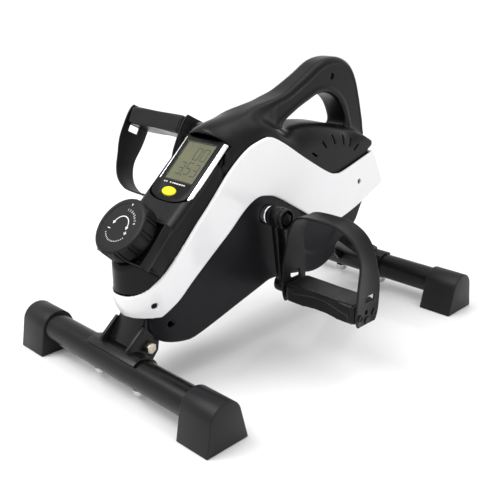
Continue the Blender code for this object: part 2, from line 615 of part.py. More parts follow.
def wire(name, points, r, mat, resolution=2):
    cu = bpy.data.curves.new(name, "CURVE")
    cu.dimensions = "3D"
    cu.bevel_depth = r * MM
    cu.bevel_resolution = resolution
    cu.use_fill_caps = True
    sp = cu.splines.new("POLY")
    sp.points.add(len(points) - 1)
    for q, p in zip(sp.points, points):
        q.co = (p[0] * MM, p[1] * MM, p[2] * MM, 1)
    tmp = bpy.data.objects.new(name + "_line", cu)
    CUTTERS.objects.link(tmp)
    bpy.context.view_layer.update()
    me = bpy.data.meshes.new_from_object(tmp.evaluated_get(bpy.context.evaluated_depsgraph_get()))
    bpy.data.objects.remove(tmp, do_unlink=True)
    me.name = name
    bm = bmesh.new()
    bm.from_mesh(me)
    bmesh.ops.remove_doubles(bm, verts=bm.verts, dist=2e-6)
    bmesh.ops.recalc_face_normals(bm, faces=bm.faces)
    bm.to_mesh(me)
    bm.free()
    me.shade_smooth()
    return new_object(name, me, mat)


wire("tension_cable", through([(-12.5, -190, 174), (-16, -168, 190), (-20, -120, 214), (-24, -62, 226), (-24, -21, 216)], 4),
     1.6, M_BELT, 1)

# ================= crank set =================
tilt = math.radians(CRANK_TILT)
PEDAL_AT = {1: (SPINDLE[0] + CRANK_LEN * math.sin(tilt), SPINDLE[1] - CRANK_LEN * math.cos(tilt)),
            -1: (SPINDLE[0] - CRANK_LEN * math.sin(tilt), SPINDLE[1] + CRANK_LEN * math.cos(tilt))}


def hull_of_circles(c0, r0, c1, r1, n=10):
    """Outline round two circles and the straight lines that touch both."""
    d = math.dist(c0, c1)
    a = math.degrees(math.atan2(c1[1] - c0[1], c1[0] - c0[0]))
    b = math.degrees(math.acos((r0 - r1) / d))
    return arc(c0, r0, a + b, a + 360 - b, n) + arc(c1, r1, a - b, a + b, n)


smooth(rod("crank_spindle", 8.5, -72.0, 72.0, place_x(*SPINDLE), M_STEEL, 20))
pulley = ring("drive_pulley", PULLEY_R, 8.8, 18, 30, place_x(*SPINDLE), M_CASE, 40)
settle(pulley)
combine(pulley, "DIFFERENCE", *[cutter_rod(13, 10, 40, place_x(SPINDLE[0] + 37 * math.cos(math.radians(a)), SPINDLE[1] + 37 * math.sin(math.radians(a))), 16)
                                for a in range(30, 390, 60)])
smooth(pulley, 30)
for side in (1, -1):
    nm = side_name(side)
    c1 = PEDAL_AT[side]
    smooth(ring(f"spindle_collar_{nm}", 12.5, 9.2, 39, 51, place_x(*SPINDLE), M_CHROME, 24)) if side > 0 else \
        smooth(ring(f"spindle_collar_{nm}", 12.5, 9.2, -51, -39, place_x(*SPINDLE), M_CHROME, 24))
    lo, hi = (58.0, 68.0)
    arm = prism(f"crank_{nm}", hull_of_circles(SPINDLE, 10.5, c1, 8.5), lo, hi, M_STEEL_BLACK)
    combine(arm, "UNION", rod("e", 13.5, 52, 79.0, place_x(*SPINDLE), segs=24, coll=CUTTERS),
            rod("e", 12.0, 56, 70, place_x(*c1), segs=24, coll=CUTTERS))
    combine(arm, "DIFFERENCE", cutter_rod(8.8, 50, 90, place_x(*SPINDLE), 20), cutter_rod(10.6, 72.2, 90, place_x(*SPINDLE), 20),
            cutter_rod(6.3, 50, 80, place_x(*c1), 20))
    smooth(mirror_x(arm, side), 30)
    nut = rod(f"crank_nut_{nm}", 8.0, 72.5, 78.9, place_x(*SPINDLE), M_STEEL, 6)
    combine(nut, "UNION", rod("fl", 9.8, 72.5, 74.2, place_x(*SPINDLE), segs=20, coll=CUTTERS))
    smooth(mirror_x(nut, side), 30)
    axle = rod(f"pedal_axle_{nm}", 6.0, 55, 188, place_x(*c1), M_STEEL, 16)
    smooth(mirror_x(axle, side), 30)

# ================= pedals and straps =================
strap_outer = [(80, -15), (79.6, 30), (80.2, 64), (84.2, 84), (94, 99.5), (111, 105), (150, 105), (168, 100.5), (182, 92), (191.5, 80),
               (197, 66), (199.6, 48), (200.4, 24), (199.4, -15)]


def strap_path():
    return through(strap_outer, 2)


for side in (1, -1):
    nm = side_name(side)
    yc, zc = PEDAL_AT[1]
    # pedal body: a waisted block with a stepped tread, bored for the axle
    w, t = PEDAL_W / 2, PEDAL_T / 2
    sec = [(-w, -t + 5), (-w + 6, -t), (w - 6, -t), (w, -t + 5), (w, t - 6), (w - 6, t), (-w + 6, t), (-w, t - 6)]
    ped = prism(f"pedal_{nm}", [(yc + a, zc + b) for a, b in sec], PEDAL_IN - 0.9, PEDAL_OUT, M_PEDAL)
    scoop = arc((140, yc - w - 118), 122.5, 62, 118, 8)
    combine(ped, "DIFFERENCE",
            prism("c", [(x, y) for x, y in scoop] + [(90, -110), (190, -110)], 0, 200, frame=AX_Z, coll=CUTTERS),
            cutter_rod(6.3, 70, 190, place_x(yc, zc), 16))
    # strap: a bent band, wide at its ends and narrow over the foot
    outer = strap_path()
    inner = inset(outer, -STRAP_T if area(outer) < 0 else STRAP_T)
    band = [(x, z + zc) for x, z in outer] + [(x, z + zc) for x, z in reversed(inner)]
    strap = prism(f"strap_{nm}", band, yc - w, yc + w, M_STRAP, frame=AX_Y)
    waist = through([(-w, -18), (-w, 30), (-w + 2.5, 46), (-16, 64), (-16, 112)], 3)
    side_view = [(yc + a, zc + b) for a, b in waist] + [(yc - a, zc + b) for a, b in reversed(waist)]
    combine(strap, "INTERSECT", cutter_prism(side_view, 60, 220))
    combine(strap, "DIFFERENCE",
            cutter_rod(7.2, 74, 92, place_x(yc, zc), 16),
            cutter_prism([(yc - 9, zc + 13.5), (yc - 7.5, zc + 23.5), (yc + 7.5, zc + 23.5), (yc + 9, zc + 13.5)], 70, 92),
            cutter_prism([(yc - 9, zc + 13.5), (yc - 7.5, zc + 23.5), (yc + 7.5, zc + 23.5), (yc + 9, zc + 13.5)], 190, 210))
    for o in (ped, strap):
        mirror_x(o, side)
        if side < 0:
            turn = Matrix.Translation((0, PEDAL_AT[-1][0] * MM, PEDAL_AT[-1][1] * MM)) \
                @ Matrix.Rotation(math.radians(LEFT_PEDAL_TURN), 4, "X") @ Matrix.Translation((0, -yc * MM, -zc * MM))
            bake(o, turn)
        smooth(o, 30)

# ================= flywheel and magnetic brake =================
belt = prism("drive_belt", hull_of_circles(SPINDLE, PULLEY_R + 3.2, FLY, SMALL_R + 3.2, 14), 19, 29, M_BELT,
             holes=[hull_of_circles(SPINDLE, PULLEY_R + 0.9, FLY, SMALL_R + 0.6, 14)])
smooth(belt, 40)
smooth(settle(ring("flywheel", FLY_R, 9.3, -34, -16, place_x(*FLY), M_CAST, 40)), 30)
smooth(rod("flywheel_axle", 9.0, -37, 31, place_x(*FLY), M_STEEL, 20))
smooth(settle(ring("belt_wheel", SMALL_R, 9.3, 18, 30, place_x(*FLY), M_STEEL, 20)), 30)
bracket_r, magnet_r = 69.0, 65.6
arm_line = hull_of_circles(BRAKE_PIVOT, 6.5, (46, 214.5), 3.5, 8)
brk = prism("magnet_bracket", arc(FLY, bracket_r + 3, 66, 114, 9) + arc(FLY, bracket_r, 114, 66, 9), -31, -17, M_STEEL_BLACK)
combine(brk, "UNION", prism("a", arm_line, -31, -17, coll=CUTTERS),
        prism("t", hull_of_circles(BRAKE_PIVOT, 5, (-13, 206), 3.5, 6), -27, -21, coll=CUTTERS))
combine(brk, "DIFFERENCE", cutter_rod(3.3, -40, -10, place_x(*BRAKE_PIVOT), 12))
smooth(brk, 30)
smooth(prism("brake_magnet", arc(FLY, bracket_r - 0.3, 69, 106, 7) + arc(FLY, magnet_r, 106, 69, 7), -30, -18, M_MAGNET), 30)
turns = 3
wire("return_spring", [(-15.0 + 10.5 * i / (turns * 10),
                        BRAKE_PIVOT[0] + 5.2 * math.cos(2 * math.pi * i / 10),
                        BRAKE_PIVOT[1] + 5.2 * math.sin(2 * math.pi * i / 10)) for i in range(turns * 10 + 1)], 0.6, M_STEEL, 1)
new_object("speed_sensor", box_mesh("speed_sensor", 10, 10, 16, Matrix.Translation((8.4 * MM, -70 * MM, 158 * MM))), M_CASE)

# nothing but parts is left in view; the cutters' collection keeps no loose objects
for o in list(CUTTERS.objects):
    o.hide_render = True
    o.display_type = "WIRE"
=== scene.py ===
import json
import math

import bmesh
import bpy
import numpy as np
from mathutils import Matrix, Vector


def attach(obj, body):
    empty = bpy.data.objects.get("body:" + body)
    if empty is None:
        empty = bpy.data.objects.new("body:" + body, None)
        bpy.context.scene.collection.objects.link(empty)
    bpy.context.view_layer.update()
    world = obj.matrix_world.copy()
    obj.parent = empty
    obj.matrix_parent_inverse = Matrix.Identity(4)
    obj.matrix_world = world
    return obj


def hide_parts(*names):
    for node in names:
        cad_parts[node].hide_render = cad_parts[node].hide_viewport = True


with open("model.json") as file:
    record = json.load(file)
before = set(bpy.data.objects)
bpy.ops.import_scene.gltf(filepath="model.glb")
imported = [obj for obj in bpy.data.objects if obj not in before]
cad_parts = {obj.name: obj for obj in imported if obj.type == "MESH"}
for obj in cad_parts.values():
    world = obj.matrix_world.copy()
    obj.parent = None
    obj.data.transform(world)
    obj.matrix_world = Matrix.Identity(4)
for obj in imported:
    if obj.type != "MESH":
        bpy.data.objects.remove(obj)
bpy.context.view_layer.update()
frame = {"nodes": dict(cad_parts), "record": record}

MM = 0.001
NODES = frame["nodes"]

# ---------------------------------------------------------------- dimensions shared with the CAD (millimetres)
TUBE_R, TUBE_Y, TUBE_Z, TUBE_HALF = 19.0, 245.0, 34.0, 178.0
SPINDLE, CRANK_LEN, CRANK_TILT, LEFT_TURN = (-32.0, 183.0), 95.0, 7.7, 152.0
FLY = (72.0, 150.0)
FACE_O, SLOPE = (-213.0, 187.0), 46.0
CON_O, CON_SLOPE = (-122.5, 260.8), 43.0
NOSE = -246.0
tilt = math.radians(CRANK_TILT)
PEDAL = {1: (SPINDLE[0] + CRANK_LEN * math.sin(tilt), SPINDLE[1] - CRANK_LEN * math.cos(tilt)),
         -1: (SPINDLE[0] - CRANK_LEN * math.sin(tilt), SPINDLE[1] + CRANK_LEN * math.cos(tilt))}
SIDE = {1: "right", -1: "left"}
SCREWS = {"nose": (-224, 117), "rear": (160, 195), "lower": (-192, 79), "handle": (126, 341)}


# ---------------------------------------------------------------- outlines
def arc(c, r, a0, a1, n):
    return [(c[0] + r * math.cos(math.radians(a0 + (a1 - a0) * i / n)),
             c[1] + r * math.sin(math.radians(a0 + (a1 - a0) * i / n))) for i in range(n + 1)]


def through(points, n=5, closed=False):
    out, m = [], len(points)
    for i in range(m if closed else m - 1):
        if closed:
            p = [points[(i + k) % m] for k in (-1, 0, 1, 2)]
        else:
            p = [points[max(i - 1, 0)], points[i], points[i + 1], points[min(i + 2, m - 1)]]
        for k in range(n):
            t = k / n
            out.append(tuple(0.5 * (2 * b + (c - a) * t + (2 * a - 5 * b + 4 * c - d) * t * t + (3 * b - a - 3 * c + d) * t ** 3)
                             for a, b, c, d in zip(*p)))
    if not closed:
        out.append(tuple(points[-1]))
    return out


def frame_matrix(o, slope, u=0.0, h=0.0, x=0.0):
    c, s = math.cos(math.radians(slope)), math.sin(math.radians(slope))
    y, z = o[0] + c * u - s * h, o[1] + s * u + c * h
    return Matrix(((1, 0, 0, x * MM), (0, c, -s, y * MM), (0, s, c, z * MM), (0, 0, 0, 1)))


def face(u=0.0, h=0.0, x=0.0):
    return frame_matrix(FACE_O, SLOPE, u, h, x)


def con(u=0.0, h=0.0, x=0.0):
    return frame_matrix(CON_O, CON_SLOPE, u, h, x)


def place_x(y, z):
    return Matrix(((0, 0, 1, 0), (1, 0, 0, y * MM), (0, 1, 0, z * MM), (0, 0, 0, 1)))


# ---------------------------------------------------------------- distance fields and their surface
def poly_sdf(P, U, V):
    P = np.array(P, float)
    Q = np.roll(P, -1, 0)
    d2 = np.full(np.broadcast(U, V).shape, 1e18)
    inside = np.zeros(d2.shape, bool)
    for (ax, ay), (bx, by) in zip(P, Q):
        ex, ey = bx - ax, by - ay
        L = ex * ex + ey * ey
        if L < 1e-9:
            continue
        t = np.clip(((U - ax) * ex + (V - ay) * ey) / L, 0, 1)
        d2 = np.minimum(d2, (U - ax - t * ex) ** 2 + (V - ay - t * ey) ** 2)
        if abs(ey) > 1e-12:
            inside ^= ((ay > V) != (by > V)) & (U < ex * (V - ay) / ey + ax)
    return np.where(inside, -1, 1) * np.sqrt(d2)


def round_both(a, b, r):
    """Intersection of two fields with an edge of radius r."""
    a, b = a + r, b + r
    return np.sqrt(np.maximum(a, 0) ** 2 + np.maximum(b, 0) ** 2) + np.minimum(np.maximum(a, b), 0) - r


def smin(a, b, k):
    h = np.clip(0.5 + 0.5 * (b - a) / k, 0, 1)
    return b + (a - b) * h - k * h * (1 - h)


def smooth01(t):
    t = np.clip(t, 0, 1)
    return t * t * (3 - 2 * t)


def nets(field, lo, hi, step, name, smooth_angle=38):
    """field(X, Y, Z) in millimetres, negative inside; returns a mesh of its surface."""
    ax = [np.arange(l, h + step, step) for l, h in zip(lo, hi)]
    X, Y, Z = ax[0][:, None, None], ax[1][None, :, None], ax[2][None, None, :]
    f = np.ascontiguousarray(np.broadcast_to(field(X, Y, Z), (len(ax[0]), len(ax[1]), len(ax[2]))), np.float32)
    f = np.where(np.abs(f) < 1e-5, 1e-5, f)
    nx, ny, nz = f.shape
    offs = [(i, j, k) for i in (0, 1) for j in (0, 1) for k in (0, 1)]
    view = lambda i, j, k: f[i:nx - 1 + i, j:ny - 1 + j, k:nz - 1 + k]
    neg = sum((view(*o) < 0).astype(np.int8) for o in offs)
    cell = (neg > 0) & (neg < 8)
    idx = np.full(cell.shape, -1, np.int64)
    n = int(cell.sum())
    idx[cell] = np.arange(n)
    base = np.stack(np.nonzero(cell), 1).astype(float)
    vals = [view(*o)[cell].astype(float) for o in offs]
    acc, cnt = np.zeros((n, 3)), np.zeros(n)
    for a in range(8):
        for b in range(a + 1, 8):
            d = [offs[b][k] - offs[a][k] for k in range(3)]
            if sum(abs(q) for q in d) != 1:
                continue
            m = (vals[a] < 0) != (vals[b] < 0)
            t = np.where(m, vals[a] / np.where(m, vals[a] - vals[b], 1), 0)
            acc += m[:, None] * (np.array(offs[a]) + t[:, None] * np.array(d))
            cnt += m
    v = base + acc / cnt[:, None]

    def sample(p):
        q = np.clip(p, 0, np.array(f.shape) - 1.001)
        i = q.astype(int)
        t = q - i
        out = 0
        for o in offs:
            w = np.prod([t[:, k] if o[k] else 1 - t[:, k] for k in range(3)], 0)
            out = out + w * f[i[:, 0] + o[0], i[:, 1] + o[1], i[:, 2] + o[2]]
        return out
    for _ in range(3):
        g = np.stack([(sample(v + e) - sample(v - e)) for e in np.eye(3) * 0.5], 1) / step
        s = sample(v)
        gl = (g ** 2).sum(1)
        move = -(s / np.maximum(gl, 0.3))[:, None] * g / step
        v = v + np.clip(move, -0.4, 0.4) * 0.8
    quads = []
    s = f < 0
    for k in range(3):
        a = [slice(1, -1)] * 3
        a[k] = slice(0, -1)
        b = [slice(1, -1)] * 3
        b[k] = slice(1, None)
        s0, s1 = s[tuple(a)], s[tuple(b)]
        p = np.stack(np.nonzero(s0 != s1), 1)
        first = s0[s0 != s1]
        for q in range(3):
            if q != k:
                p[:, q] += 1
        u, w = [(1, 2), (2, 0), (0, 1)][k]
        eu, ew = np.eye(3, dtype=int)[u], np.eye(3, dtype=int)[w]
        get = lambda r: idx[r[:, 0], r[:, 1], r[:, 2]]
        q4 = np.stack([get(p - eu - ew), get(p - ew), get(p), get(p - eu)], 1)
        q4[~first] = q4[~first][:, ::-1]
        quads.append(q4)
    q = np.concatenate(quads)
    q = q[(q >= 0).all(1)]
    co = (v * step + np.array(lo)) * MM
    me = bpy.data.meshes.new(name)
    me.vertices.add(len(co))
    me.vertices.foreach_set("co", co.astype(np.float32).ravel())
    me.loops.add(q.size)
    me.loops.foreach_set("vertex_index", q.astype(np.int32).ravel())
    me.polygons.add(len(q))
    me.polygons.foreach_set("loop_start", np.arange(0, q.size, 4, dtype=np.int32))
    me.update(calc_edges=True)
    me.validate()
    me.shade_smooth()
    if smooth_angle:
        me.set_sharp_from_angle(angle=math.radians(smooth_angle))
    return me


# ---------------------------------------------------------------- materials
def bsdf(m):
    return m.node_tree.nodes["Principled BSDF"]


def surface(name, rgb, rough, metal=0.0, var=0.12, grain=900.0, bump=0.06, rough_var=0.08, wear=0.0, wear_rgb=(0.5, 0.5, 0.5),
            coat=0.0, spec=0.5, broad=18.0, stretch=(1, 1, 1), distance=0.0002, alpha=1.0, trans=0.0, dust=0.0):
    """Moulded, coated, cast or turned surface: broad colour drift, fine grain in colour, roughness and height, worn edges."""
    m = bpy.data.materials.new(name)
    m.use_nodes = True
    nt = m.node_tree
    N, L = nt.nodes.new, nt.links.new
    b = bsdf(m)
    tc = N("ShaderNodeTexCoord")
    mp = N("ShaderNodeMapping")
    mp.inputs["Scale"].default_value = stretch
    L(tc.outputs["Object"], mp.inputs["Vector"])
    big = N("ShaderNodeTexNoise")
    big.inputs["Scale"].default_value = broad
    big.inputs["Detail"].default_value = 4
    L(mp.outputs[0], big.inputs["Vector"])
    fine = N("ShaderNodeTexNoise")
    fine.inputs["Scale"].default_value = grain
    fine.inputs["Detail"].default_value = 3
    L(mp.outputs[0], fine.inputs["Vector"])
    cells = N("ShaderNodeTexVoronoi")
    cells.inputs["Scale"].default_value = grain * 0.9
    L(mp.outputs[0], cells.inputs["Vector"])
    mix = N("ShaderNodeMix")
    mix.data_type = "RGBA"
    lo = tuple(max(0, c * (1 - var)) for c in rgb)
    hi = tuple(min(1, c * (1 + var)) for c in rgb)
    mix.inputs[6].default_value = (*lo, 1)
    mix.inputs[7].default_value = (*hi, 1)
    L(big.outputs["Fac"], mix.inputs["Factor"])
    col = mix.outputs[2]
    mix2 = N("ShaderNodeMix")
    mix2.data_type = "RGBA"
    mix2.blend_type = "MULTIPLY"
    mr = N("ShaderNodeMapRange")
    mr.inputs["From Min"].default_value = 0.3
    mr.inputs["From Max"].default_value = 0.7
    mr.inputs["To Min"].default_value = 1 - var
    mr.inputs["To Max"].default_value = 1 + var * 0.5
    L(fine.outputs["Fac"], mr.inputs["Value"])
    mix2.inputs["Factor"].default_value = 1.0
    L(col, mix2.inputs[6])
    L(mr.outputs[0], mix2.inputs[7])
    col = mix2.outputs[2]
    if wear > 0:
        geo = N("ShaderNodeNewGeometry")
        ramp = N("ShaderNodeMapRange")
        ramp.inputs["From Min"].default_value = 0.53
        ramp.inputs["From Max"].default_value = 0.62
        ramp.inputs["To Max"].default_value = wear
        L(geo.outputs["Pointiness"], ramp.inputs["Value"])
        brk = N("ShaderNodeMath")
        brk.operation = "MULTIPLY"
        L(ramp.outputs[0], brk.inputs[0])
        L(big.outputs["Fac"], brk.inputs[1])
        mix3 = N("ShaderNodeMix")
        mix3.data_type = "RGBA"
        L(brk.outputs[0], mix3.inputs["Factor"])
        L(col, mix3.inputs[6])
        mix3.inputs[7].default_value = (*wear_rgb, 1)
        col = mix3.outputs[2]
    L(col, b.inputs["Base Color"])
    rr = N("ShaderNodeMapRange")
    rr.inputs["From Min"].default_value = 0.3
    rr.inputs["From Max"].default_value = 0.7
    rr.inputs["To Min"].default_value = max(0.02, rough - rough_var)
    rr.inputs["To Max"].default_value = min(1, rough + rough_var)
    L(big.outputs["Fac"], rr.inputs["Value"])
    L(rr.outputs[0], b.inputs["Roughness"])
    if bump > 0:
        add = N("ShaderNodeMath")
        add.operation = "MULTIPLY_ADD"
        L(cells.outputs["Distance"], add.inputs[0])
        add.inputs[1].default_value = 0.6
        L(fine.outputs["Fac"], add.inputs[2])
        bp = N("ShaderNodeBump")
        bp.inputs["Strength"].default_value = bump
        bp.inputs["Distance"].default_value = distance
        L(add.outputs[0], bp.inputs["Height"])
        L(bp.outputs[0], b.inputs["Normal"])
    b.inputs["Metallic"].default_value = metal
    b.inputs["Coat Weight"].default_value = coat
    b.inputs["Coat Roughness"].default_value = 0.08
    b.inputs["Specular IOR Level"].default_value = spec
    b.inputs["Alpha"].default_value = alpha
    b.inputs["Transmission Weight"].default_value = trans
    return m


M = {
    "powder_coat_black": surface("vis_powder_coat", (0.005, 0.005, 0.0055), 0.32, var=0.2, grain=1500, bump=0.16, wear=0.15, wear_rgb=(0.06, 0.06, 0.06), spec=0.24),
    "foot_rubber": surface("vis_foot_rubber", (0.010, 0.010, 0.0115), 0.42, var=0.15, grain=1100, bump=0.2, wear=0.2, wear_rgb=(0.04, 0.04, 0.04), spec=0.22),
    "casing_black": surface("vis_casing", (0.0045, 0.0045, 0.0055), 0.3, var=0.12, grain=1700, bump=0.1, rough_var=0.04, wear=0.1, wear_rgb=(0.03, 0.03, 0.034), spec=0.18),
    "cover_white": surface("vis_cover", (0.86, 0.86, 0.872), 0.2, var=0.012, grain=700, bump=0.015, rough_var=0.03, coat=0.5),
    "chrome": surface("vis_chrome", (0.88, 0.88, 0.9), 0.14, 1.0, var=0.03, grain=600, bump=0.02, rough_var=0.03),
    "zinc_steel": surface("vis_zinc", (0.56, 0.55, 0.53), 0.27, 1.0, var=0.1, grain=900, bump=0.08, rough_var=0.08),
    "bolt_brass": surface("vis_bolt", (0.62, 0.55, 0.46), 0.26, 1.0, var=0.15, grain=900, bump=0.1, rough_var=0.1),
    "lcd_olive": surface("vis_lcd", (0.15, 0.152, 0.068), 0.4, var=0.08, grain=2500, bump=0.03, broad=30, spec=0.2),
    "window_clear": surface("vis_window", (0.25, 0.26, 0.22), 0.06, var=0.02, grain=600, bump=0.0, rough_var=0.02, alpha=0.1, spec=0.3),
    "button_yellow": surface("vis_button", (0.86, 0.77, 0.006), 0.34, var=0.05, grain=1200, bump=0.05, rough_var=0.05, spec=0.3),
    "circuit_green": surface("vis_circuit", (0.02, 0.16, 0.06), 0.4, var=0.2, grain=500, bump=0.1),
    "belt_rubber": surface("vis_belt", (0.02, 0.02, 0.02), 0.6, var=0.2, grain=900, bump=0.3),
    "magnet_nickel": surface("vis_magnet", (0.55, 0.55, 0.55), 0.22, 1.0, var=0.08, grain=900, bump=0.05),
    "cast_iron": surface("vis_cast", (0.09, 0.09, 0.095), 0.5, 0.8, var=0.25, grain=700, bump=0.35, wear=0.4, wear_rgb=(0.4, 0.4, 0.4)),
    "pedal_rubber": surface("vis_pedal", (0.006, 0.006, 0.0063), 0.33, var=0.2, grain=1300, bump=0.14, wear=0.1, wear_rgb=(0.03, 0.03, 0.03), spec=0.22),
    "strap_rubber": surface("vis_strap", (0.008, 0.008, 0.0088), 0.42, var=0.15, grain=1300, bump=0.16, wear=0.2, wear_rgb=(0.05, 0.05, 0.05), spec=0.2),
}
M["panel"] = surface("vis_panel", (0.0065, 0.0065, 0.0085), 0.42, var=0.1, grain=1900, bump=0.1, rough_var=0.04, wear=0.1, wear_rgb=(0.03, 0.03, 0.034), spec=0.18)
M["knob"] = surface("vis_knob", (0.005, 0.005, 0.0055), 0.42, var=0.15, grain=1900, bump=0.18, rough_var=0.04, wear=0.2, wear_rgb=(0.05, 0.05, 0.05), spec=0.2)
M["console"] = surface("vis_console", (0.002, 0.002, 0.0024), 0.28, var=0.1, grain=1900, bump=0.06, rough_var=0.03, spec=0.14)
M["print"] = surface("vis_print", (0.82, 0.82, 0.8), 0.5, var=0.05, grain=1500, bump=0.04)
M["screw_black"] = surface("vis_screw_black", (0.02, 0.02, 0.021), 0.4, 0.6, var=0.2, grain=900, bump=0.1, spec=0.3)
M["digit"] = surface("vis_digit", (0.006, 0.007, 0.004), 0.5, var=0.05, grain=1500, bump=0.02)
# painted shade: a near-black rough finish that stands in for the shade at the bottom of the knob tray
M["shadow"] = surface("vis_painted_shade", (0.004, 0.004, 0.004), 0.6, var=0.1, grain=900, bump=0.05)

slot_of = {s["node"]: s["material_slot"] for s in frame["record"]["subparts"]}
for n, o in NODES.items():
    mt = M[slot_of[n]]
    if not o.data.materials:
        o.data.materials.append(mt)
    for k in range(len(o.data.materials)):
        o.data.materials[k] = M["screw_black"] if n.startswith("casing_screw") else mt


# ---------------------------------------------------------------- piece helpers
def piece(name, mesh, mat, body, *nodes):
    o = bpy.data.objects.new(name, mesh)
    bpy.context.scene.collection.objects.link(o)
    mesh.materials.clear()
    mesh.materials.append(M[mat])
    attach(o, body)
    if nodes:
        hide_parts(*nodes)
    return o


def soft_edges(o, width, segs=2, angle=32, smooth=40):
    bv = o.modifiers.new("edge", "BEVEL")
    bv.width = width * MM
    bv.segments = segs
    bv.limit_method = "ANGLE"
    bv.angle_limit = math.radians(angle)
    bv.harden_normals = False
    bpy.context.view_layer.update()
    me = bpy.data.meshes.new_from_object(o.evaluated_get(bpy.context.evaluated_depsgraph_get()))
    o.modifiers.clear()
    old, o.data = o.data, me
    bpy.data.meshes.remove(old)
    me.shade_smooth()
    me.set_sharp_from_angle(angle=math.radians(smooth))
    return o


def refine(node, name, body, width=0.6, mat=None, segs=2):
    """A CAD node's own solid with its edges broken."""
    me = NODES[node].data.copy()
    bm = bmesh.new()
    bm.from_mesh(me)
    bmesh.ops.remove_doubles(bm, verts=bm.verts, dist=2e-6)
    bmesh.ops.dissolve_limit(bm, angle_limit=math.radians(0.5), verts=bm.verts, edges=bm.edges)
    bmesh.ops.recalc_face_normals(bm, faces=bm.faces)
    bm.to_mesh(me)
    bm.free()
    if "custom_normal" in me.attributes:
        me.attributes.remove(me.attributes["custom_normal"])
    return soft_edges(piece(name, me, mat or slot_of[node], body, node), width, segs)


def prism_mesh(name, outline, lo, hi, matrix, holes=()):
    cu = bpy.data.curves.new(name, "CURVE")
    cu.dimensions = "2D"
    cu.fill_mode = "BOTH"
    cu.extrude = abs(hi - lo) / 2 * MM
    for pts in (outline, *holes):
        sp = cu.splines.new("POLY")
        sp.points.add(len(pts) - 1)
        for q, (u, v) in zip(sp.points, pts):
            q.co = (u * MM, v * MM, 0, 1)
        sp.use_cyclic_u = True
    t = bpy.data.objects.new(name + "_t", cu)
    bpy.context.scene.collection.objects.link(t)
    bpy.context.view_layer.update()
    me = bpy.data.meshes.new_from_object(t.evaluated_get(bpy.context.evaluated_depsgraph_get()))
    bpy.data.objects.remove(t, do_unlink=True)
    bm = bmesh.new()
    bm.from_mesh(me)
    bmesh.ops.remove_doubles(bm, verts=bm.verts, dist=2e-6)
    bmesh.ops.transform(bm, matrix=matrix @ Matrix.Translation((0, 0, (lo + hi) / 2 * MM)), verts=bm.verts)
    bmesh.ops.dissolve_limit(bm, angle_limit=math.radians(0.3), verts=bm.verts, edges=bm.edges)
    bmesh.ops.recalc_face_normals(bm, faces=bm.faces)
    bm.to_mesh(me)
    bm.free()
    me.name = name
    return me


def lathe_mesh(name, profile, matrix, segs=72, radius=None):
    """profile: (depth, radius) pairs along own Z, from one end on the axis to the other. radius(depth_index, r, angle) may shape it."""
    bm = bmesh.new()
    rings = []
    for i, (d, r) in enumerate(profile):
        if r < 1e-6:
            rings.append([bm.verts.new((0, 0, d * MM))])
            continue
        ringv = []
        for k in range(segs):
            a = 2 * math.pi * k / segs
            rr = radius(i, r, a) if radius else r
            ringv.append(bm.verts.new((rr * math.cos(a) * MM, rr * math.sin(a) * MM, d * MM)))
        rings.append(ringv)
    for A, B in zip(rings, rings[1:]):
        for k in range(segs):
            a0, a1 = A[k % len(A)], A[(k + 1) % len(A)]
            b0, b1 = B[k % len(B)], B[(k + 1) % len(B)]
            if len(A) == 1 and len(B) == 1:
                continue
            if len(A) == 1:
                bm.faces.new((a0, b0, b1))
            elif len(B) == 1:
                bm.faces.new((a0, b0, a1))
            else:
                bm.faces.new((a0, b0, b1, a1))
    bmesh.ops.transform(bm, matrix=matrix, verts=bm.verts)
    bmesh.ops.recalc_face_normals(bm, faces=bm.faces)
    me = bpy.data.meshes.new(name)
    bm.to_mesh(me)
    bm.free()
    me.shade_smooth()
    me.set_sharp_from_angle(angle=math.radians(35))
    return me


def cut(o, *meshes, op="DIFFERENCE", solver="MANIFOLD"):
    for me in meshes:
        t = bpy.data.objects.new("t", me)
        bpy.context.scene.collection.objects.link(t)
        md = o.modifiers.new("c", "BOOLEAN")
        md.operation, md.object, md.solver = op, t, solver
        bpy.context.view_layer.update()
        out = bpy.data.meshes.new_from_object(o.evaluated_get(bpy.context.evaluated_depsgraph_get()))
        o.modifiers.clear()
        if len(out.polygons) > 3:
            old, o.data = o.data, out
            bpy.data.meshes.remove(old)
        bpy.data.objects.remove(t, do_unlink=True)
    return o


def merged(*meshes, name="m"):
    bm = bmesh.new()
    for me in meshes:
        bm.from_mesh(me)
    out = bpy.data.meshes.new(name)
    bm.to_mesh(out)
    bm.free()
    out.shade_smooth()
    out.set_sharp_from_angle(angle=math.radians(35))
    return out


def box_m(sx, sy, sz, matrix, r=0.0):
    bm = bmesh.new()
    bmesh.ops.create_cube(bm, size=1.0, matrix=Matrix.Diagonal((sx * MM, sy * MM, sz * MM, 1)))
    if r > 0:
        bmesh.ops.bevel(bm, geom=list(bm.edges), offset=r * MM, segments=3, profile=0.5, affect="EDGES")
    bmesh.ops.transform(bm, matrix=matrix, verts=bm.verts)
    bmesh.ops.recalc_face_normals(bm, faces=bm.faces)
    me = bpy.data.meshes.new("b")
    bm.to_mesh(me)
    bm.free()
    return me


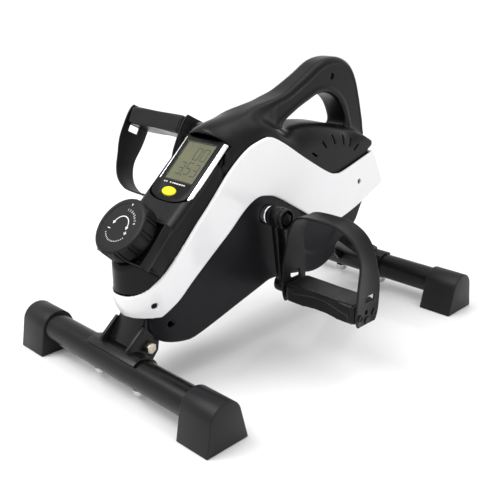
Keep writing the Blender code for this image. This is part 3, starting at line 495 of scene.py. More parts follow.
# ---------------------------------------------------------------- casing outlines (side view, y and z)
COVER_TOP = [(NOSE - 2, 124), (-237, 122.5), (-222, 129), (-210, 139), (-196, 153), (-183.6, 167.5), (-160.5, 193), (-134, 218.5), (-101, 252),
             (-72, 273), (-48, 281.5), (-28, 283), (-2, 271), (41, 244.5), (88, 218), (108, 211.5), (128, 213), (194, 230.5)]
COVER_LOW = [(222.5, 178), (171, 157), (124, 143), (95, 141), (60, 158), (28, 177), (-13, 201), (-33, 208), (-53, 209),
             (-75, 198), (-102, 175.5), (-135, 151), (-166.6, 126.6), (-183.3, 110.5), (-195.2, 100), (-206, 89.5), (-214, 82), (-224, 77), (-234, 76), (NOSE - 2, 76)]
LOWER = [(210, 186), (199, 173), (179, 153), (161, 124), (122, 104)] + arc((72, 147), 73, -51, -113, 14) \
    + [(-15, 88), (-49, 81), (-146, 54), (-176, 51), (-206, 59), (-222, 82), (-229, 98), (-237, 112)]
MID = [(NOSE, 121), (-205, 126), (-180, 143), (-150, 170), (-100, 216), (-70, 240), (-45, 247), (-15, 236), (40, 208), (95, 178), (140, 182), (200, 206)]
FRONT = [(NOSE, 146), (-241, 151), (-230, 159), (-206, 181), (-155, 226), (-112, 264), (-101, 277), (-103, 287), (-101.5, 295.5), (-94, 300), (-80, 304),
         (-60, 308), (-25, 316), (5, 321), (34, 328), (60, 340), (80, 350), (105, 362.5), (130, 366.5), (153, 363.5), (173, 352), (187, 332),
         (198, 303), (208, 270), (212, 248), (201, 240), (190, 232)]
HOLE = [(18, 285), (40, 296), (59, 305), (80, 313), (98, 319), (118, 319), (135, 312), (149, 300), (159, 283), (166, 262), (150, 248), (90, 244), (30, 250)]
BODY = [(NOSE, 146), (-241, 151), (-230, 159), (-206, 181), (-155, 226), (-112, 264), (-101, 275), (-98, 288), (-84, 296), (-50, 298), (-20, 296),
        (8, 284), (28, 281), (50, 284), (70, 285), (96, 282), (120, 277), (142, 271), (165, 262), (199, 244), (199.5, 236), (190, 231)]


def plan(w, nose, r=80.0):
    half = [(w * math.sin(math.radians(90 * i / 24)), nose + r * (1 - math.cos(math.radians(90 * i / 24)))) for i in range(25)]
    return [(-x, y) for x, y in reversed(half[1:])] + half + [(w, 300), (-w, 300)]


mid_c = through(MID, 6)
upper_poly = list(reversed(mid_c)) + FRONT[:1] + through(FRONT[1:6], 4) + through(FRONT[6:23], 4) + FRONT[23:]
body_poly = list(reversed(mid_c)) + BODY[:1] + through(BODY[1:6], 4) + through(BODY[6:19], 4) + BODY[19:]
lower_poly = mid_c + LOWER[:1] + through(LOWER[1:], 4)
cover_poly = through(COVER_TOP, 8) + through(COVER_LOW, 8)
hole_poly = through(HOLE[:10], 5) + HOLE[10:]
LO, HI = (-53.0, -254.0, 46.0), (53.0, 228.0, 370.0)
STEP = 1.35


def plan_field(X, Y, w, nose, r=80.0, Z=None, amount=1.0):
    """Seen from above. With Z the nose also slopes back under the chin."""
    d = poly_sdf(plan(w, nose, r), X[:, :, 0], Y[:, :, 0])
    if Z is None:
        return d[:, :, None]
    dy = float(Y[0, 1, 0] - Y[0, 0, 0])
    back = amount * np.minimum(0.0085 * np.maximum(0, 128 - Z[0, 0]) ** 2, 16.5)
    k = np.clip(np.arange(d.shape[1])[:, None] - back[None] / dy, 0, d.shape[1] - 1.001)
    i = k.astype(int)
    t = k - i
    return d[:, i] * (1 - t) + d[:, i + 1] * t


def cyl_x(Y, Z, c, r):
    return (np.sqrt((Y - c[0]) ** 2 + (Z - c[1]) ** 2) - r)


def box_in(matrix, X, Y, Z, sx, sy, sz):
    q = matrix.inverted()
    d = None
    for row, s in zip(range(3), (sx, sy, sz)):
        v = q[row][0] * X + q[row][1] * Y + q[row][2] * Z + q[row][3] / MM
        e = np.abs(v) - s / 2
        d = e if d is None else np.maximum(d, e)
    return d


neck_front = [(-246, 74), (-196, 40), (-176, 70), (-180, 120), (-246, 124)]
neck_rear = [(104, 92), (170, 70), (192, 118), (150, 140), (112, 134)]


def dropped(d2, drop, dz):
    """A side-view field (y, z) lowered by drop(x, y), as a field (x, y, z)."""
    nz = d2.shape[1]
    k = np.arange(nz)[None, None] + drop[:, :, None] / dz
    k = np.clip(k, 0, nz - 1.001)
    i = k.astype(int)
    t = k - i
    yy = np.arange(d2.shape[0])[None, :, None]
    return d2[yy, i] * (1 - t) + d2[yy, i + 1] * t


def upper_field(X, Y, Z):
    dz = float(Z[0, 0, 1] - Z[0, 0, 0])
    x2, y2 = X[:, :, 0], Y[:, :, 0]
    # over the display the casing arches down to both sides like a hood
    arch = 23.0 * (x2 / 40.0) ** 2 * smooth01((y2 + 117) / 15) * (1 - smooth01((y2 + 75) / 45))
    d_f = dropped(poly_sdf(upper_poly, Y[0], Z[0]), arch, dz)
    d_h = poly_sdf(hole_poly, Y[0], Z[0])[None]
    d_b = dropped(poly_sdf(body_poly, Y[0], Z[0]), arch * 0.7, dz)
    t = smooth01((Y + 92) / 100)
    w = 42.6 + (19.0 - 42.6) * t
    # the raised step along the handle's side: the middle of the grip lies a little lower than its borders
    dh = np.maximum(d_f, -d_h)
    grip = smooth01((Y - 2) / 14)
    inner = smooth01((-dh - 7.5) / 2.8) * grip
    w = w - 1.3 * inner
    r_f = 15.0 + 4.0 * smooth01((Y + 118) / 22) * (1 - smooth01((Y + 40) / 60)) - 8.0 * smooth01((Y + 40) / 60) + 4.0 * smooth01((Y - 20) / 60)
    d_plan = plan_field(X, Y, 43.6, -240.4, 77.0, Z)
    top = np.maximum(round_both(d_f, np.abs(X) - w, r_f), round_both(-d_h, np.abs(X) - w, 5.5))
    r_b = 12.0 + 20.0 * smooth01((Y + 20) / 60) - 26.0 * smooth01((Y - 140) / 45)
    body = round_both(d_b, np.abs(X) - 42.6, r_b)
    d = smin(top, body, 16.0)
    d = np.maximum(d, poly_sdf(list(reversed(mid_c)) + [(NOSE, 400), (240, 400)], Y[0], Z[0])[None])
    d = round_both(d, d_plan, 4.0)
    skin = d
    # vents: short radial slots in the shoulder over the flywheel
    for vy, vz in ((62, 246), (83, 257.5), (106, 261.5), (130, 257.5), (147, 251), (160, 242)):
        a = math.atan2(vz - 212, vy - 118)
        c, s = math.cos(a), math.sin(a)
        along = (Y - vy) * c + (Z - vz) * s
        across = -(Y - vy) * s + (Z - vz) * c
        slot = np.maximum(np.maximum(np.abs(along + 3) - 6.5, np.abs(across) - 1.3), 24.0 - np.abs(X))
        d = np.maximum(d, -slot)
    # hollow
    return np.maximum(d, -(skin + 4.6))


POCKET = [(38.0, 36.6), (38.0, -44.2), (34.6, -51.4), (26.4, -56.6), (14.2, -59.6), (0.0, -60.0)]
POCKET = POCKET + [(-x, u) for x, u in reversed(POCKET[:-1])]


def pocket_in(X, Y, Z):
    """The recess that the display module sits in follows the module's outline."""
    q = con(0, 0).inverted()
    x = q[0][0] * X + 0 * Y + 0 * Z
    u = q[1][1] * Y + q[1][2] * Z + q[1][3] / MM
    h = q[2][1] * Y + q[2][2] * Z + q[2][3] / MM
    k = np.full(POCKET_SAMPLES.shape, 0.0)
    xi = (np.clip(x, -60, 60) + 60) / 0.5
    ui = (np.clip(u, -80, 60) + 80) / 0.5
    i, j = xi.astype(int), np.broadcast_to(ui, np.broadcast(x, u).shape).astype(int)
    fx, fu = xi - i, ui - j
    i = np.broadcast_to(i, j.shape)
    i2, j2 = np.minimum(i + 1, k.shape[0] - 1), np.minimum(j + 1, k.shape[1] - 1)
    P = POCKET_SAMPLES
    v = (P[i, j] * (1 - fx) + P[i2, j] * fx) * (1 - fu) + (P[i, j2] * (1 - fx) + P[i2, j2] * fx) * fu
    return np.maximum(v, -14.4 - h)


POCKET_SAMPLES = poly_sdf(POCKET, np.arange(-60, 60.25, 0.5)[:, None], np.arange(-80, 60.25, 0.5)[None, :])


def upper_solid(X, Y, Z):
    d = upper_field(X, Y, Z)
    d = np.maximum(d, -pocket_in(X, Y, Z))
    d = np.maximum(d, -box_in(face(0, -8), X, Y, Z, 76, 46, 44))
    d = np.maximum(d, -np.maximum(cyl_x(Y, Z, SPINDLE, 12.9), 30 - np.abs(X)))
    k = np.maximum(cyl_x(Y, Z, SCREWS["handle"], 4.2), 12.2 - X)
    return np.maximum(d, -k)


def lower_solid(X, Y, Z):
    d_l = poly_sdf(lower_poly, Y[0], Z[0])[None]
    # the flywheel's drum stands out a little, with a sloping rim
    d_plan = plan_field(X, Y, 43.0, -238.5, 75.0, Z, 0.55)
    d = round_both(d_l, d_plan, 3.5)
    d = np.maximum(d, poly_sdf(mid_c + [(240, 0), (-260, 0)], Y[0], Z[0])[None])
    rim = cyl_x(Y, Z, (75, 147), 0.0)
    dish = np.maximum(rim - 47.0, 40.4 - np.abs(X) + np.clip(rim - 43.0, 0, 5) * 0.55)
    d = np.maximum(d, -(d + 5.6))
    d = np.maximum(d, -dish)
    d = np.maximum(d, -np.maximum(cyl_x(Y, Z, SPINDLE, 12.9), 30 - np.abs(X)))
    for n in (neck_front, neck_rear):
        d = np.maximum(d, -np.maximum(poly_sdf(n, Y[0], Z[0])[None], np.abs(X) - 23.4))
    return np.maximum(d, -np.maximum(cyl_x(Y, Z, SCREWS["lower"], 4.2), 12.2 - X))


COVER_SCREWS = [(-213.8, 109.2), (161.5, 190.0)]


def cover_solid(X, Y, Z):
    d_c = poly_sdf(cover_poly, Y[0], Z[0])[None]
    d = round_both(d_c, plan_field(X, Y, 48.0, -243.8, 80.0, Z), 2.6)
    inner = np.maximum(plan_field(X, Y, 43.9, -240.6, 77.2, Z),
                       poly_sdf([(-270, 80), (180, 80), (207, 160), (217.5, 178.5), (187.5, 233.0), (187.5, 310), (-270, 310)], Y[0], Z[0])[None])
    d = np.maximum(d, -inner)
    for c in COVER_SCREWS:
        d = np.maximum(d, -np.maximum(cyl_x(Y, Z, c, 4.0), 20 - X))
    return d


casing_upper = piece("casing_upper", nets(upper_solid, LO, HI, STEP, "casing_upper"), "casing_black", "frame", "upper_shell_right", "upper_shell_left")
casing_lower = piece("casing_lower", nets(lower_solid, (-46, -248, 46), (46, 216, 256), STEP, "casing_lower"), "panel", "frame", "lower_shell_right", "lower_shell_left")
cover = piece("cover_band", nets(cover_solid, (-51, -253, 92), (51, 226, 290), STEP, "cover_band"), "cover_white", "frame", "side_cover_right", "side_cover_left")

# ---------------------------------------------------------------- tubes, feet, brackets
for end, s in (("front", -1), ("rear", 1)):
    yc = s * TUBE_Y
    prof = [(-TUBE_HALF, 0), (-TUBE_HALF, 17.9), (-TUBE_HALF + 0.9, 18.8), (-TUBE_HALF + 1.4, 19)] + \
           [(-150 + 30 * i, 19) for i in range(11)] + [(TUBE_HALF - 1.4, 19), (TUBE_HALF - 0.9, 18.8), (TUBE_HALF, 17.9), (TUBE_HALF, 0)]
    piece(f"tube_{end}", lathe_mesh("tube", prof, place_x(yc, TUBE_Z), 96), "powder_coat_black", "frame", f"{end}_tube")
    for side in (1, -1):
        c = yc - 1.5 * s
        outline = [(c + (29.0 if s > 0 else 33.0), 0.0)] + arc((c, TUBE_Z), 23.0, 9.49 if s > 0 else 14.0, 170.51 if s < 0 else 166.0, 44) + [(c - (29.0 if s < 0 else 33.0), 0.0)]
        lo, hi = (135, 185) if side > 0 else (-185, -135)
        o = piece(f"foot_cap_{end}_{SIDE[side]}", prism_mesh("foot", outline, lo, hi, place_x(0, 0)), "foot_rubber", "frame", f"foot_{end}_{SIDE[side]}")
        soft_edges(o, 1.5, 3, 40, 50)
        refine(f"tube_bolt_{end}_{SIDE[side]}", f"dome_bolt_{end}_{SIDE[side]}", "frame", 0.3)
    refine(f"{end}_bracket", f"bracket_{end}", "frame", 0.7)
    refine(f"{end}_frame_bolt", f"cross_bolt_{end}", "frame", 0.5)
weld = refine("main_frame", "frame_weldment", "frame", 0.6)
cut(weld, prism_mesh("c", [(-270, 142), (-214, 142), (-221, 104), (-222.5, 86), (-241.5, 60), (-270, 60)], -24, 24, place_x(0, 0)))
soft_edges(piece("neck_plate", prism_mesh("neck_plate", [(-214, 137), (-221, 104), (-222.5, 86), (-240.8, 61), (-238.4, 59), (-219.8, 85), (-218.4, 104), (-211.4, 137)],
                                          -22.6, 22.6, place_x(0, 0)), "powder_coat_black", "frame"), 0.8)
for (y, z), lo, node in zip(COVER_SCREWS, (27.0, 43.0), ("casing_screw_nose", "casing_screw_rear")):
    sc = lathe_mesh("screw", [(lo - 8, 0), (lo - 8, 1.9), (lo, 1.9), (lo, 3.6), (lo + 1.5, 3.6), (lo + 2.4, 2.8), (lo + 2.6, 1.2), (lo + 1.6, 0.9), (lo + 1.6, 0)], place_x(y, z), 32)
    piece(node.replace("casing_screw", "cover_screw"), sc, "screw_black", "frame", node)

# ---------------------------------------------------------------- console
half = [(33.4, 36.0), (33.4, -40.0), (33.0, -46.0), (30.5, -51.0), (24.0, -55.0), (13.0, -58.2), (0.0, -59.2)]
outline = half + [(-x, y) for x, y in reversed(half[:-1])]
base = [(37.4, 36.0), (37.4, -44.0), (34.0, -51.0), (26.0, -56.0), (14.0, -59.0), (0.0, -59.4)]
base = base + [(-x, y) for x, y in reversed(base[:-1])]
hs = piece("console_face", prism_mesh("console_face", outline, -9, 0, con(0, 0)), "console", "frame", "console_housing")
cut(hs, box_m(52.6, 60.6, 6, con(0, 1.2), 0.0), prism_mesh("c", [(12.5 * math.cos(math.radians(i * 9)), 7.0 * math.sin(math.radians(i * 9))) for i in range(40)], -30, 30, con(-45.5, 0, -2)))
soft_edges(hs, 1.2, 3)
tray = piece("console_tray", prism_mesh("console_tray", base, -14, -8.6, con(0, 0)), "console", "frame")
soft_edges(tray, 0.8, 2)
# display: glass face, digits, printed marks
lcd = piece("display", box_m(48.4, 55.8, 1.2, con(0, -2.3), 0.3), "lcd_olive", "frame", "lcd_panel")


def seg_digit(ch, x0, u0, w=8.0, h=17.0, t=1.5):
    """One seven-segment digit standing up the slope, with its lower left corner at (x0, u0)."""
    on = {"0": "abcdef", "3": "abgcd", "5": "afgcd"}
    bars = {"a": (w / 2, h, w, t), "g": (w / 2, h / 2, w, t), "d": (w / 2, 0, w, t), "f": (0, h * .75, t, h / 2), "b": (w, h * .75, t, h / 2),
            "e": (0, h * .25, t, h / 2), "c": (w, h * .25, t, h / 2)}
    return [box_m(max(sx - 0.8, t), max(su - 0.8, t), 0.12, con(u0 + du, -1.6, x0 + dx)) for dx, du, sx, su in (bars[k] for k in on[ch])]


piece("display_digits", merged(*seg_digit("3", -13.5, -19.0), *seg_digit("5", -1.0, -18.0), *seg_digit("3", 11.5, -19.0), *seg_digit("0", -1.0, 4.0), *seg_digit("0", 11.5, 4.0),
                               box_m(2.2, 2.2, 0.12, con(-20.0, -1.6, -3.4)), name="digits"), "digit", "frame")
piece("display_glass", box_m(52.0, 60.0, 1.0, con(0, -0.75), 0.2), "window_clear", "frame", "console_window")
marks = [box_m(2.0, 1.8, 0.16, con(-33.6, 0.0, x)) for x in (-19.5, -15.6)]
marks += [box_m(w, 1.5, 0.16, con(-33.6, 0.0, x)) for x, w in ((-8.6, 2.2), (-4.4, 2.0), (-0.8, 3.2), (3.6, 3.6), (8.2, 3.4), (12.4, 2.6), (16.0, 2.4))]
piece("console_print", merged(*marks, name="print"), "print", "frame")
prof = [(-9.5, 0), (-9.5, 1.0), (0.6, 1.0), (1.3, 0.93), (1.75, 0.7), (2.0, 0.4), (2.05, 0)]
btn = lathe_mesh("button", [(d, r) for d, r in prof], con(-45.5, -0.3, -2) @ Matrix.Diagonal((11.9, 6.4, 1, 1)), 64)
piece("button_cap", btn, "button_yellow", "button", "console_button")
for side, w, x, h, turn in ((1, 6.4, 36.4, -2.6, 24), (-1, 1.6, -31.0, 0.0, 0)):
    o = piece(f"trim_strip_{SIDE[side]}", box_m(w, 84 if side > 0 else 64, 1.8 if side > 0 else 0.8, con(-8.0 if side > 0 else 1.0, h, x) @ Matrix.Rotation(math.radians(turn), 4, "Y"), 0.6 if side > 0 else 0.3),
              "chrome", "frame", f"console_trim_{SIDE[side]}")
    o.data.shade_smooth()

# ---------------------------------------------------------------- tension knob
bz = piece("knob_tray", prism_mesh("knob_tray", [(-42, -31.5), (42, -31.5), (42, 26.5), (-42, 26.5)], -9, 3.4, face(0, 0),
                                   holes=[[(-39.6, -29.1), (39.6, -29.1), (39.6, 24.1), (-39.6, 24.1)]]), "casing_black", "frame", "knob_bezel")
soft_edges(bz, 1.1, 3)
# the tray's floor carries the painted shade material: its near-black colour stands in for the shade in the recess
# behind the knob
fl = piece("knob_tray_floor", box_m(82, 56, 6, face(-2.5, -9.5), 0.8), "shadow", "frame")
fl.data.shade_smooth()
fillet = [p for (cx, cy), a0 in (((30, 15), 0), ((-30, 15), 90), ((-30, -19), 180), ((30, -19), 270)) for p in arc((cx, cy), 10, a0, a0 + 90, 8)]
soft_edges(piece("knob_pedestal", prism_mesh("knob_pedestal", fillet, -34, -8.5, face(0, 0)), "casing_black", "frame"), 0.8)
R = 37.3
prof = [(4.0, 0), (4.0, 30.0), (4.0, 36.2), (4.8, 37.2), (6.5, R), (10, R), (14, R), (18, R), (21.2, R), (23.2, R - 0.2), (24.6, R - 1.0), (25.5, R - 2.4),
        (25.8, R - 4.2), (25.8, 30.0), (25.35, 29.4), (25.35, 20), (25.35, 8), (25.35, 0)]


def ribs(i, r, a):
    if 3 <= i <= 9:
        k = (math.degrees(a) + 4) % 30
        return r - (1.5 if k < 3.2 or 8.0 < k < 11.2 else 0.0)
    return r


kn = piece("knob_body", lathe_mesh("knob_body", prof, face(0, 0), 360, ribs), "knob", "knob", "tension_knob")
kn.data.set_sharp_from_angle(angle=math.radians(28))


def flat_arc(r0, r1, a0, a1, h0, h1, n=40):
    return prism_mesh("arc", arc((0, 0), r1, a0, a1, n) + arc((0, 0), r0, a1, a0, n), h0, h1, face(0, 0))


def glyph(text, size, at, turn):
    cu = bpy.data.curves.new("glyph", "FONT")
    cu.body = text
    cu.size = size * MM
    cu.align_x, cu.align_y = "CENTER", "CENTER"
    cu.extrude = 0.07 * MM
    t = bpy.data.objects.new("glyph", cu)
    bpy.context.scene.collection.objects.link(t)
    bpy.context.view_layer.update()
    me = bpy.data.meshes.new_from_object(t.evaluated_get(bpy.context.evaluated_depsgraph_get()))
    bpy.data.objects.remove(t, do_unlink=True)
    me.transform(face(0, 25.42) @ Matrix.Translation((at[0] * MM, at[1] * MM, 0)) @ Matrix.Rotation(math.radians(turn), 4, "Z"))
    return me


H0, H1 = 25.3, 25.5
km = [flat_arc(11.9, 13.1, 5, 165, H0, H1)]
for a, sg in ((165, 1), (5, -1)):
    c, s = math.cos(math.radians(a)), math.sin(math.radians(a))
    p = (12.5 * c, 12.5 * s)
    tx, ty = -s * sg, c * sg
    km.append(prism_mesh("tip", [(p[0] + 3.8 * tx, p[1] + 3.8 * ty), (p[0] + 2.6 * c, p[1] + 2.6 * s), (p[0] - 2.6 * c, p[1] - 2.6 * s)], H0, H1, face(0, 0)))
for i in range(8):
    a = 94 - 10.5 * i
    km.append(glyph(str(i + 1), 4.3, (21.0 * math.cos(math.radians(a)), 21.0 * math.sin(math.radians(a))), a - 90))
km.append(prism_mesh("tri", [(-2.2, 31.4), (2.2, 31.4), (0, 26.8)], H0, H1, face(0, 0)))
km.append(box_m(4.6, 1.0, 0.2, face(-6.5, 25.4, -15.0)))
km.append(box_m(4.6, 1.0, 0.2, face(-6.5, 25.4, 15.0)))
km.append(box_m(1.0, 4.6, 0.2, face(-6.5, 25.4, 15.0)))
for i in range(15):
    a = 218 + 7.4 * i
    km.append(box_m(1.5, 0.8, 0.2, face(0, 25.4) @ Matrix.Rotation(math.radians(a), 4, "Z") @ Matrix.Translation((20.5 * MM, 0, 0))))
piece("knob_print", merged(*km, name="knob_print"), "print", "knob")

# ---------------------------------------------------------------- cranks
def hull2(c0, r0, c1, r1, n=24):
    d = math.dist(c0, c1)
    a = math.degrees(math.atan2(c1[1] - c0[1], c1[0] - c0[0]))
    b = math.degrees(math.acos((r0 - r1) / d))
    return arc(c0, r0, a + b, a + 360 - b, n) + arc(c1, r1, a - b, a + b, n)


for side in (1, -1):
    nm = SIDE[side]
    py, pz = PEDAL[side]
    ms = Matrix.Diagonal((side, 1, 1, 1))
    arm = prism_mesh("arm", hull2(SPINDLE, 10.5, (py, pz), 8.5), 58.2, 67.8, place_x(0, 0))
    arm.transform(ms)
    if side < 0:
        arm.flip_normals()
    o = soft_edges(piece(f"crank_arm_{nm}", arm, "powder_coat_black", "crank", f"crank_{nm}"), 3.2, 4)
    head = [(52, 0), (52, 12.2), (52.9, 13.2), (54.5, 13.5), (57, 13.5), (57.6, 12.7), (59, 12.7), (59.6, 13.6), (64, 13.9), (71, 13.9), (72, 13.4),
            (72.6, 12.9), (73.6, 12.9), (74.2, 13.5), (77.6, 13.5), (78.7, 12.9), (79.0, 12.2), (79.0, 11.4), (78.2, 10.9), (72.4, 10.7), (72.4, 0)]
    me = lathe_mesh("head", head, ms @ place_x(*SPINDLE), 72)
    piece(f"crank_head_{nm}", me, "powder_coat_black", "crank").data
    eye = [(56, 0), (56, 11.0), (57, 12), (68, 12), (69.4, 11.4), (70, 10.4), (70, 8.2), (69, 7.6), (69, 0)]
    piece(f"crank_eye_{nm}", lathe_mesh("eye", eye, ms @ place_x(py, pz), 64), "powder_coat_black", "crank")
    col = [(39, 0), (39, 11.4), (39.8, 12.3), (49.4, 12.4), (50.4, 12.0), (51, 11.2), (51, 9.2), (50.2, 9.0), (50.2, 0)]
    piece(f"collar_{nm}", lathe_mesh("collar", col, ms @ place_x(*SPINDLE), 64), "chrome", "frame", f"spindle_collar_{nm}")
    refine(f"crank_nut_{nm}", f"spindle_nut_{nm}", "crank", 0.5, "screw_black")

# ---------------------------------------------------------------- pedals and straps
def pedal_solid(X, Y, Z):
    """Own frame: X outwards from the crank, Y fore and aft, Z up, origin on the pedal axis."""
    def rb(a, b, c, r):
        q = [np.maximum(v + r, 0) for v in (a, b, c)]
        return np.sqrt(q[0] ** 2 + q[1] ** 2 + q[2] ** 2) + np.minimum(np.maximum(np.maximum(a, b), c) + r, 0) - r
    d = rb(np.abs(X - 140) - 55.6, np.abs(Y) - 22.0, np.abs(Z) - 12.9, 5.5)
    # scooped front and back, shallow waist on top and below, a swelling rim at each end
    t = (X - 140) / 55.0
    scoop = 4.6 * (1 - smooth01(np.abs(t) / 0.86))
    front = -(Y + 22.0 - scoop * (1 - 0.35 * smooth01(np.abs(Z) / 11)))
    d = np.maximum(d, -smin(-front, -front, 0.1)) if False else np.maximum(d, front)
    back = Y - 22.0 + 2.2 * (1 - smooth01(np.abs(t) / 0.86))
    d = np.maximum(d, back)
    topw = np.abs(Z) - 12.9 + 1.5 * (1 - smooth01(np.abs(t) / 0.9)) * (1 - smooth01((np.abs(Y) - 12) / 10) * 0.4)
    d = np.maximum(d, topw)
    # a soft step wanders along the front and the top
    wave = 3.2 * np.sin((X - 100) / 21.0) - 1.0
    step_z = smooth01((Z - wave - 0.8) / 2.6) * smooth01((np.abs(t) - 0.95) / -0.1)
    d = np.maximum(d, -(Y + 22.0 - scoop - 1.3 * (1 - step_z) * smooth01((0.88 - np.abs(t)) / 0.1)) * 1.0 - 0.0)
    groove = np.abs(np.abs(X - 140) - 51.5) - 0.8
    d = np.maximum(d, -np.maximum(groove, -(d + 0.9)))
    return d


strap_line = [(80, -15), (79.6, 30), (80.2, 64), (84.2, 84), (94, 99.5), (111, 105), (150, 105), (168, 100.5), (182, 92), (191.5, 80),
              (197, 66), (199.6, 48), (200.4, 24), (199.4, -15)]


def strap_mesh():
    """Bent band with rounded edges: wide at both ends, narrow over the foot."""
    line = through(strap_line, 8)
    n = len(line)
    waist_pts = through([(-22, -18), (-22.6, 5), (-22.4, 30), (-20.2, 45), (-17.2, 58), (-16, 72), (-16, 112)], 10)
    wz = np.array([p[1] for p in waist_pts])
    ww = np.array([-p[0] for p in waist_pts])
    T = 2.7
    bm = bmesh.new()
    rings = []
    for i, (x, z) in enumerate(line):
        a, b = line[max(i - 1, 0)], line[min(i + 1, n - 1)]
        tx, tz = b[0] - a[0], b[1] - a[1]
        l = math.hypot(tx, tz)
        nx, nz = tz / l, -tx / l                                  # towards the inside of the loop
        half = float(np.interp(z, wz, ww))
        end = min(i, n - 1 - i)
        if end < 4:
            half -= (4 - end) ** 2 * 0.28
        sec = [(-half, 0.9), (-half + 0.35, 0.3), (-half + 1.2, 0.0), (-half + 3.0, 0.0), (-half + 3.6, 0.35), (half - 3.6, 0.35), (half - 3.0, 0.0),
               (half - 1.2, 0.0), (half - 0.35, 0.3), (half, 0.9), (half, T - 0.9), (half - 0.35, T - 0.3), (half - 1.2, T), (-half + 1.2, T),
               (-half + 0.35, T - 0.3), (-half, T - 0.9)]
        rings.append([bm.verts.new(((x + nx * h) * MM, y * MM, (z + nz * h) * MM)) for y, h in sec])
    for A, B in zip(rings, rings[1:]):
        for k in range(len(A)):
            bm.faces.new((A[k], A[(k + 1) % len(A)], B[(k + 1) % len(A)], B[k]))
    bm.faces.new(rings[0])
    bm.faces.new(list(reversed(rings[-1])))
    bmesh.ops.recalc_face_normals(bm, faces=bm.faces)
    me = bpy.data.meshes.new("strap")
    bm.to_mesh(me)
    bm.free()
    return me


pedal_me = nets(pedal_solid, (82, -25, -16), (198, 25, 16), 0.9, "pedal", 40)
for side in (1, -1):
    nm = SIDE[side]
    py, pz = PEDAL[side]
    at = Matrix.Translation((0, py * MM, pz * MM))
    if side < 0:
        at = at @ Matrix.Rotation(math.radians(LEFT_TURN), 4, "X") @ Matrix.Diagonal((-1, 1, 1, 1))
    body = f"pedal_{nm}"

    def put(name, me, mat, *nodes):
        me = me.copy()
        me.transform(at)
        if side < 0:
            me.flip_normals()
        return piece(name, me, mat, body, *nodes)
    put(f"pedal_pad_{nm}", pedal_me, "pedal_rubber", f"pedal_{nm}")
    st = bpy.data.objects.new("tmp", strap_mesh())
    bpy.context.scene.collection.objects.link(st)
    px = lambda pts, lo, hi: prism_mesh("c", pts, lo, hi, place_x(0, 0))
    rnd = lambda cy, cz, hw, hh, r=1.6: [p for q, (sy, sz) in enumerate(((1, 1), (-1, 1), (-1, -1), (1, -1)))
                                         for p in arc((cy + sy * (hw - r), cz + sz * (hh - r)), r, q * 90, q * 90 + 90, 5)]
    cut(st, px(rnd(1, 18.6, 9.0, 5.2), 70, 90), px(rnd(3, 18.0, 9.0, 4.9), 190, 210),
        px(rnd(-2.6, 1.5, 2.6, 3.0, 0.6), 190, 210),
        *[lathe_mesh("h", [(70, 0), (70, 7.0), (90, 7.0), (90, 0)], place_x(0, 0), 40)])
    st.data.shade_smooth()
    st.data.set_sharp_from_angle(angle=math.radians(40))
    me = st.data.copy()
    bpy.data.objects.remove(st, do_unlink=True)
    put(f"strap_band_{nm}", me, "strap_rubber", f"strap_{nm}")
    # screws that hold the strap to the pedal's outer end, and a nut
    sm = []
    for sy in (-15.0, 13.5):
        sm.append(lathe_mesh("s", [(197.0, 0), (197.0, 4.6), (200.9, 4.6), (201.4, 4.2), (201.5, 3.2), (200.5, 2.9), (200.5, 0)], place_x(sy, -3.0), 40))
    put(f"strap_screws_{nm}", merged(*sm), "powder_coat_black")
    nut = lathe_mesh("n", [(196.8, 0), (196.8, 5.0), (200.3, 5.0), (200.8, 4.4), (200.8, 0)], place_x(0, -9.5), 6)
    put(f"strap_nut_{nm}", nut, "screw_black")

# ---------------------------------------------------------------- floor, light, camera
bm = bmesh.new()
bmesh.ops.create_grid(bm, x_segments=40, y_segments=40, size=40.0)
fm = bpy.data.meshes.new("floor")
bm.to_mesh(fm)
bm.free()
floor = bpy.data.objects.new("floor", fm)
bpy.context.scene.collection.objects.link(floor)
mf = surface("floor_white", (0.95, 0.95, 0.95), 0.1, var=0.006, grain=60, bump=0.0, rough_var=0.02, spec=0.3)
fm.materials.append(mf)

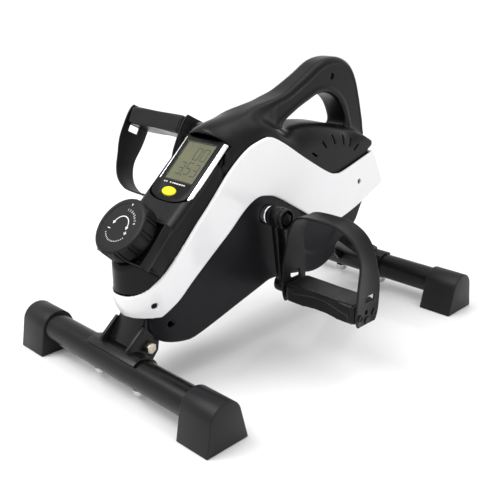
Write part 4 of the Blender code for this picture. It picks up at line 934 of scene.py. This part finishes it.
world = bpy.data.worlds.new("studio")
bpy.context.scene.world = world
world.use_nodes = True
wn = world.node_tree
bg = wn.nodes["Background"]
tcw = wn.nodes.new("ShaderNodeTexCoord")
sep = wn.nodes.new("ShaderNodeSeparateXYZ")
wn.links.new(tcw.outputs["Generated"], sep.inputs[0])
ramp = wn.nodes.new("ShaderNodeMapRange")
ramp.inputs["From Min"].default_value = 0.05
ramp.inputs["From Max"].default_value = 0.4
ramp.inputs["To Min"].default_value = 1.0
ramp.inputs["To Max"].default_value = 0.78
wn.links.new(sep.outputs[2], ramp.inputs["Value"])
wn.links.new(ramp.outputs[0], bg.inputs[1])
bg.inputs[0].default_value = (1, 1, 1, 1)
bpy.context.scene.view_settings.view_transform = "Standard"


def area_light(name, loc, aim, size, power, size_y=None):
    ld = bpy.data.lights.new(name, "AREA")
    ld.energy = power
    ld.shape = "RECTANGLE"
    ld.size = size
    ld.size_y = size_y or size
    o = bpy.data.objects.new(name, ld)
    bpy.context.scene.collection.objects.link(o)
    o.location = loc
    o.rotation_euler = (Vector(aim) - Vector(loc)).to_track_quat("-Z", "Y").to_euler()
    return o


sd = bpy.data.lights.new("soft_sun", "SUN")
sd.energy = 1.15
sd.angle = math.radians(50)
sun = bpy.data.objects.new("soft_sun", sd)
bpy.context.scene.collection.objects.link(sun)
sun.rotation_euler = Vector((0.3, 0.55, -1.0)).to_track_quat("-Z", "Y").to_euler()
area_light("key", (-0.9, -1.1, 1.9), (0, 0, 0.15), 1.1, 14)
area_light("right", (1.9, -0.2, 1.0), (0, 0, 0.2), 0.7, 5, 1.4)
area_light("top", (0.1, 0.5, 2.1), (0, 0, 0.2), 1.2, 8)

cd = bpy.data.cameras.new("cam")
cam = bpy.data.objects.new("cam", cd)
bpy.context.scene.collection.objects.link(cam)
cd.sensor_width = 36
cd.lens = 745.71 / 500 * 36
yaw, pitch = math.radians(44.22), math.radians(20.33)
cam.location = (0.66965, -0.70645, 0.47413)
fwd = Vector((-math.sin(yaw) * math.cos(pitch), math.cos(yaw) * math.cos(pitch), -math.sin(pitch)))
cam.rotation_euler = fwd.to_track_quat("-Z", "Y").to_euler()
cd.clip_start = 0.01
bpy.context.scene.camera = cam
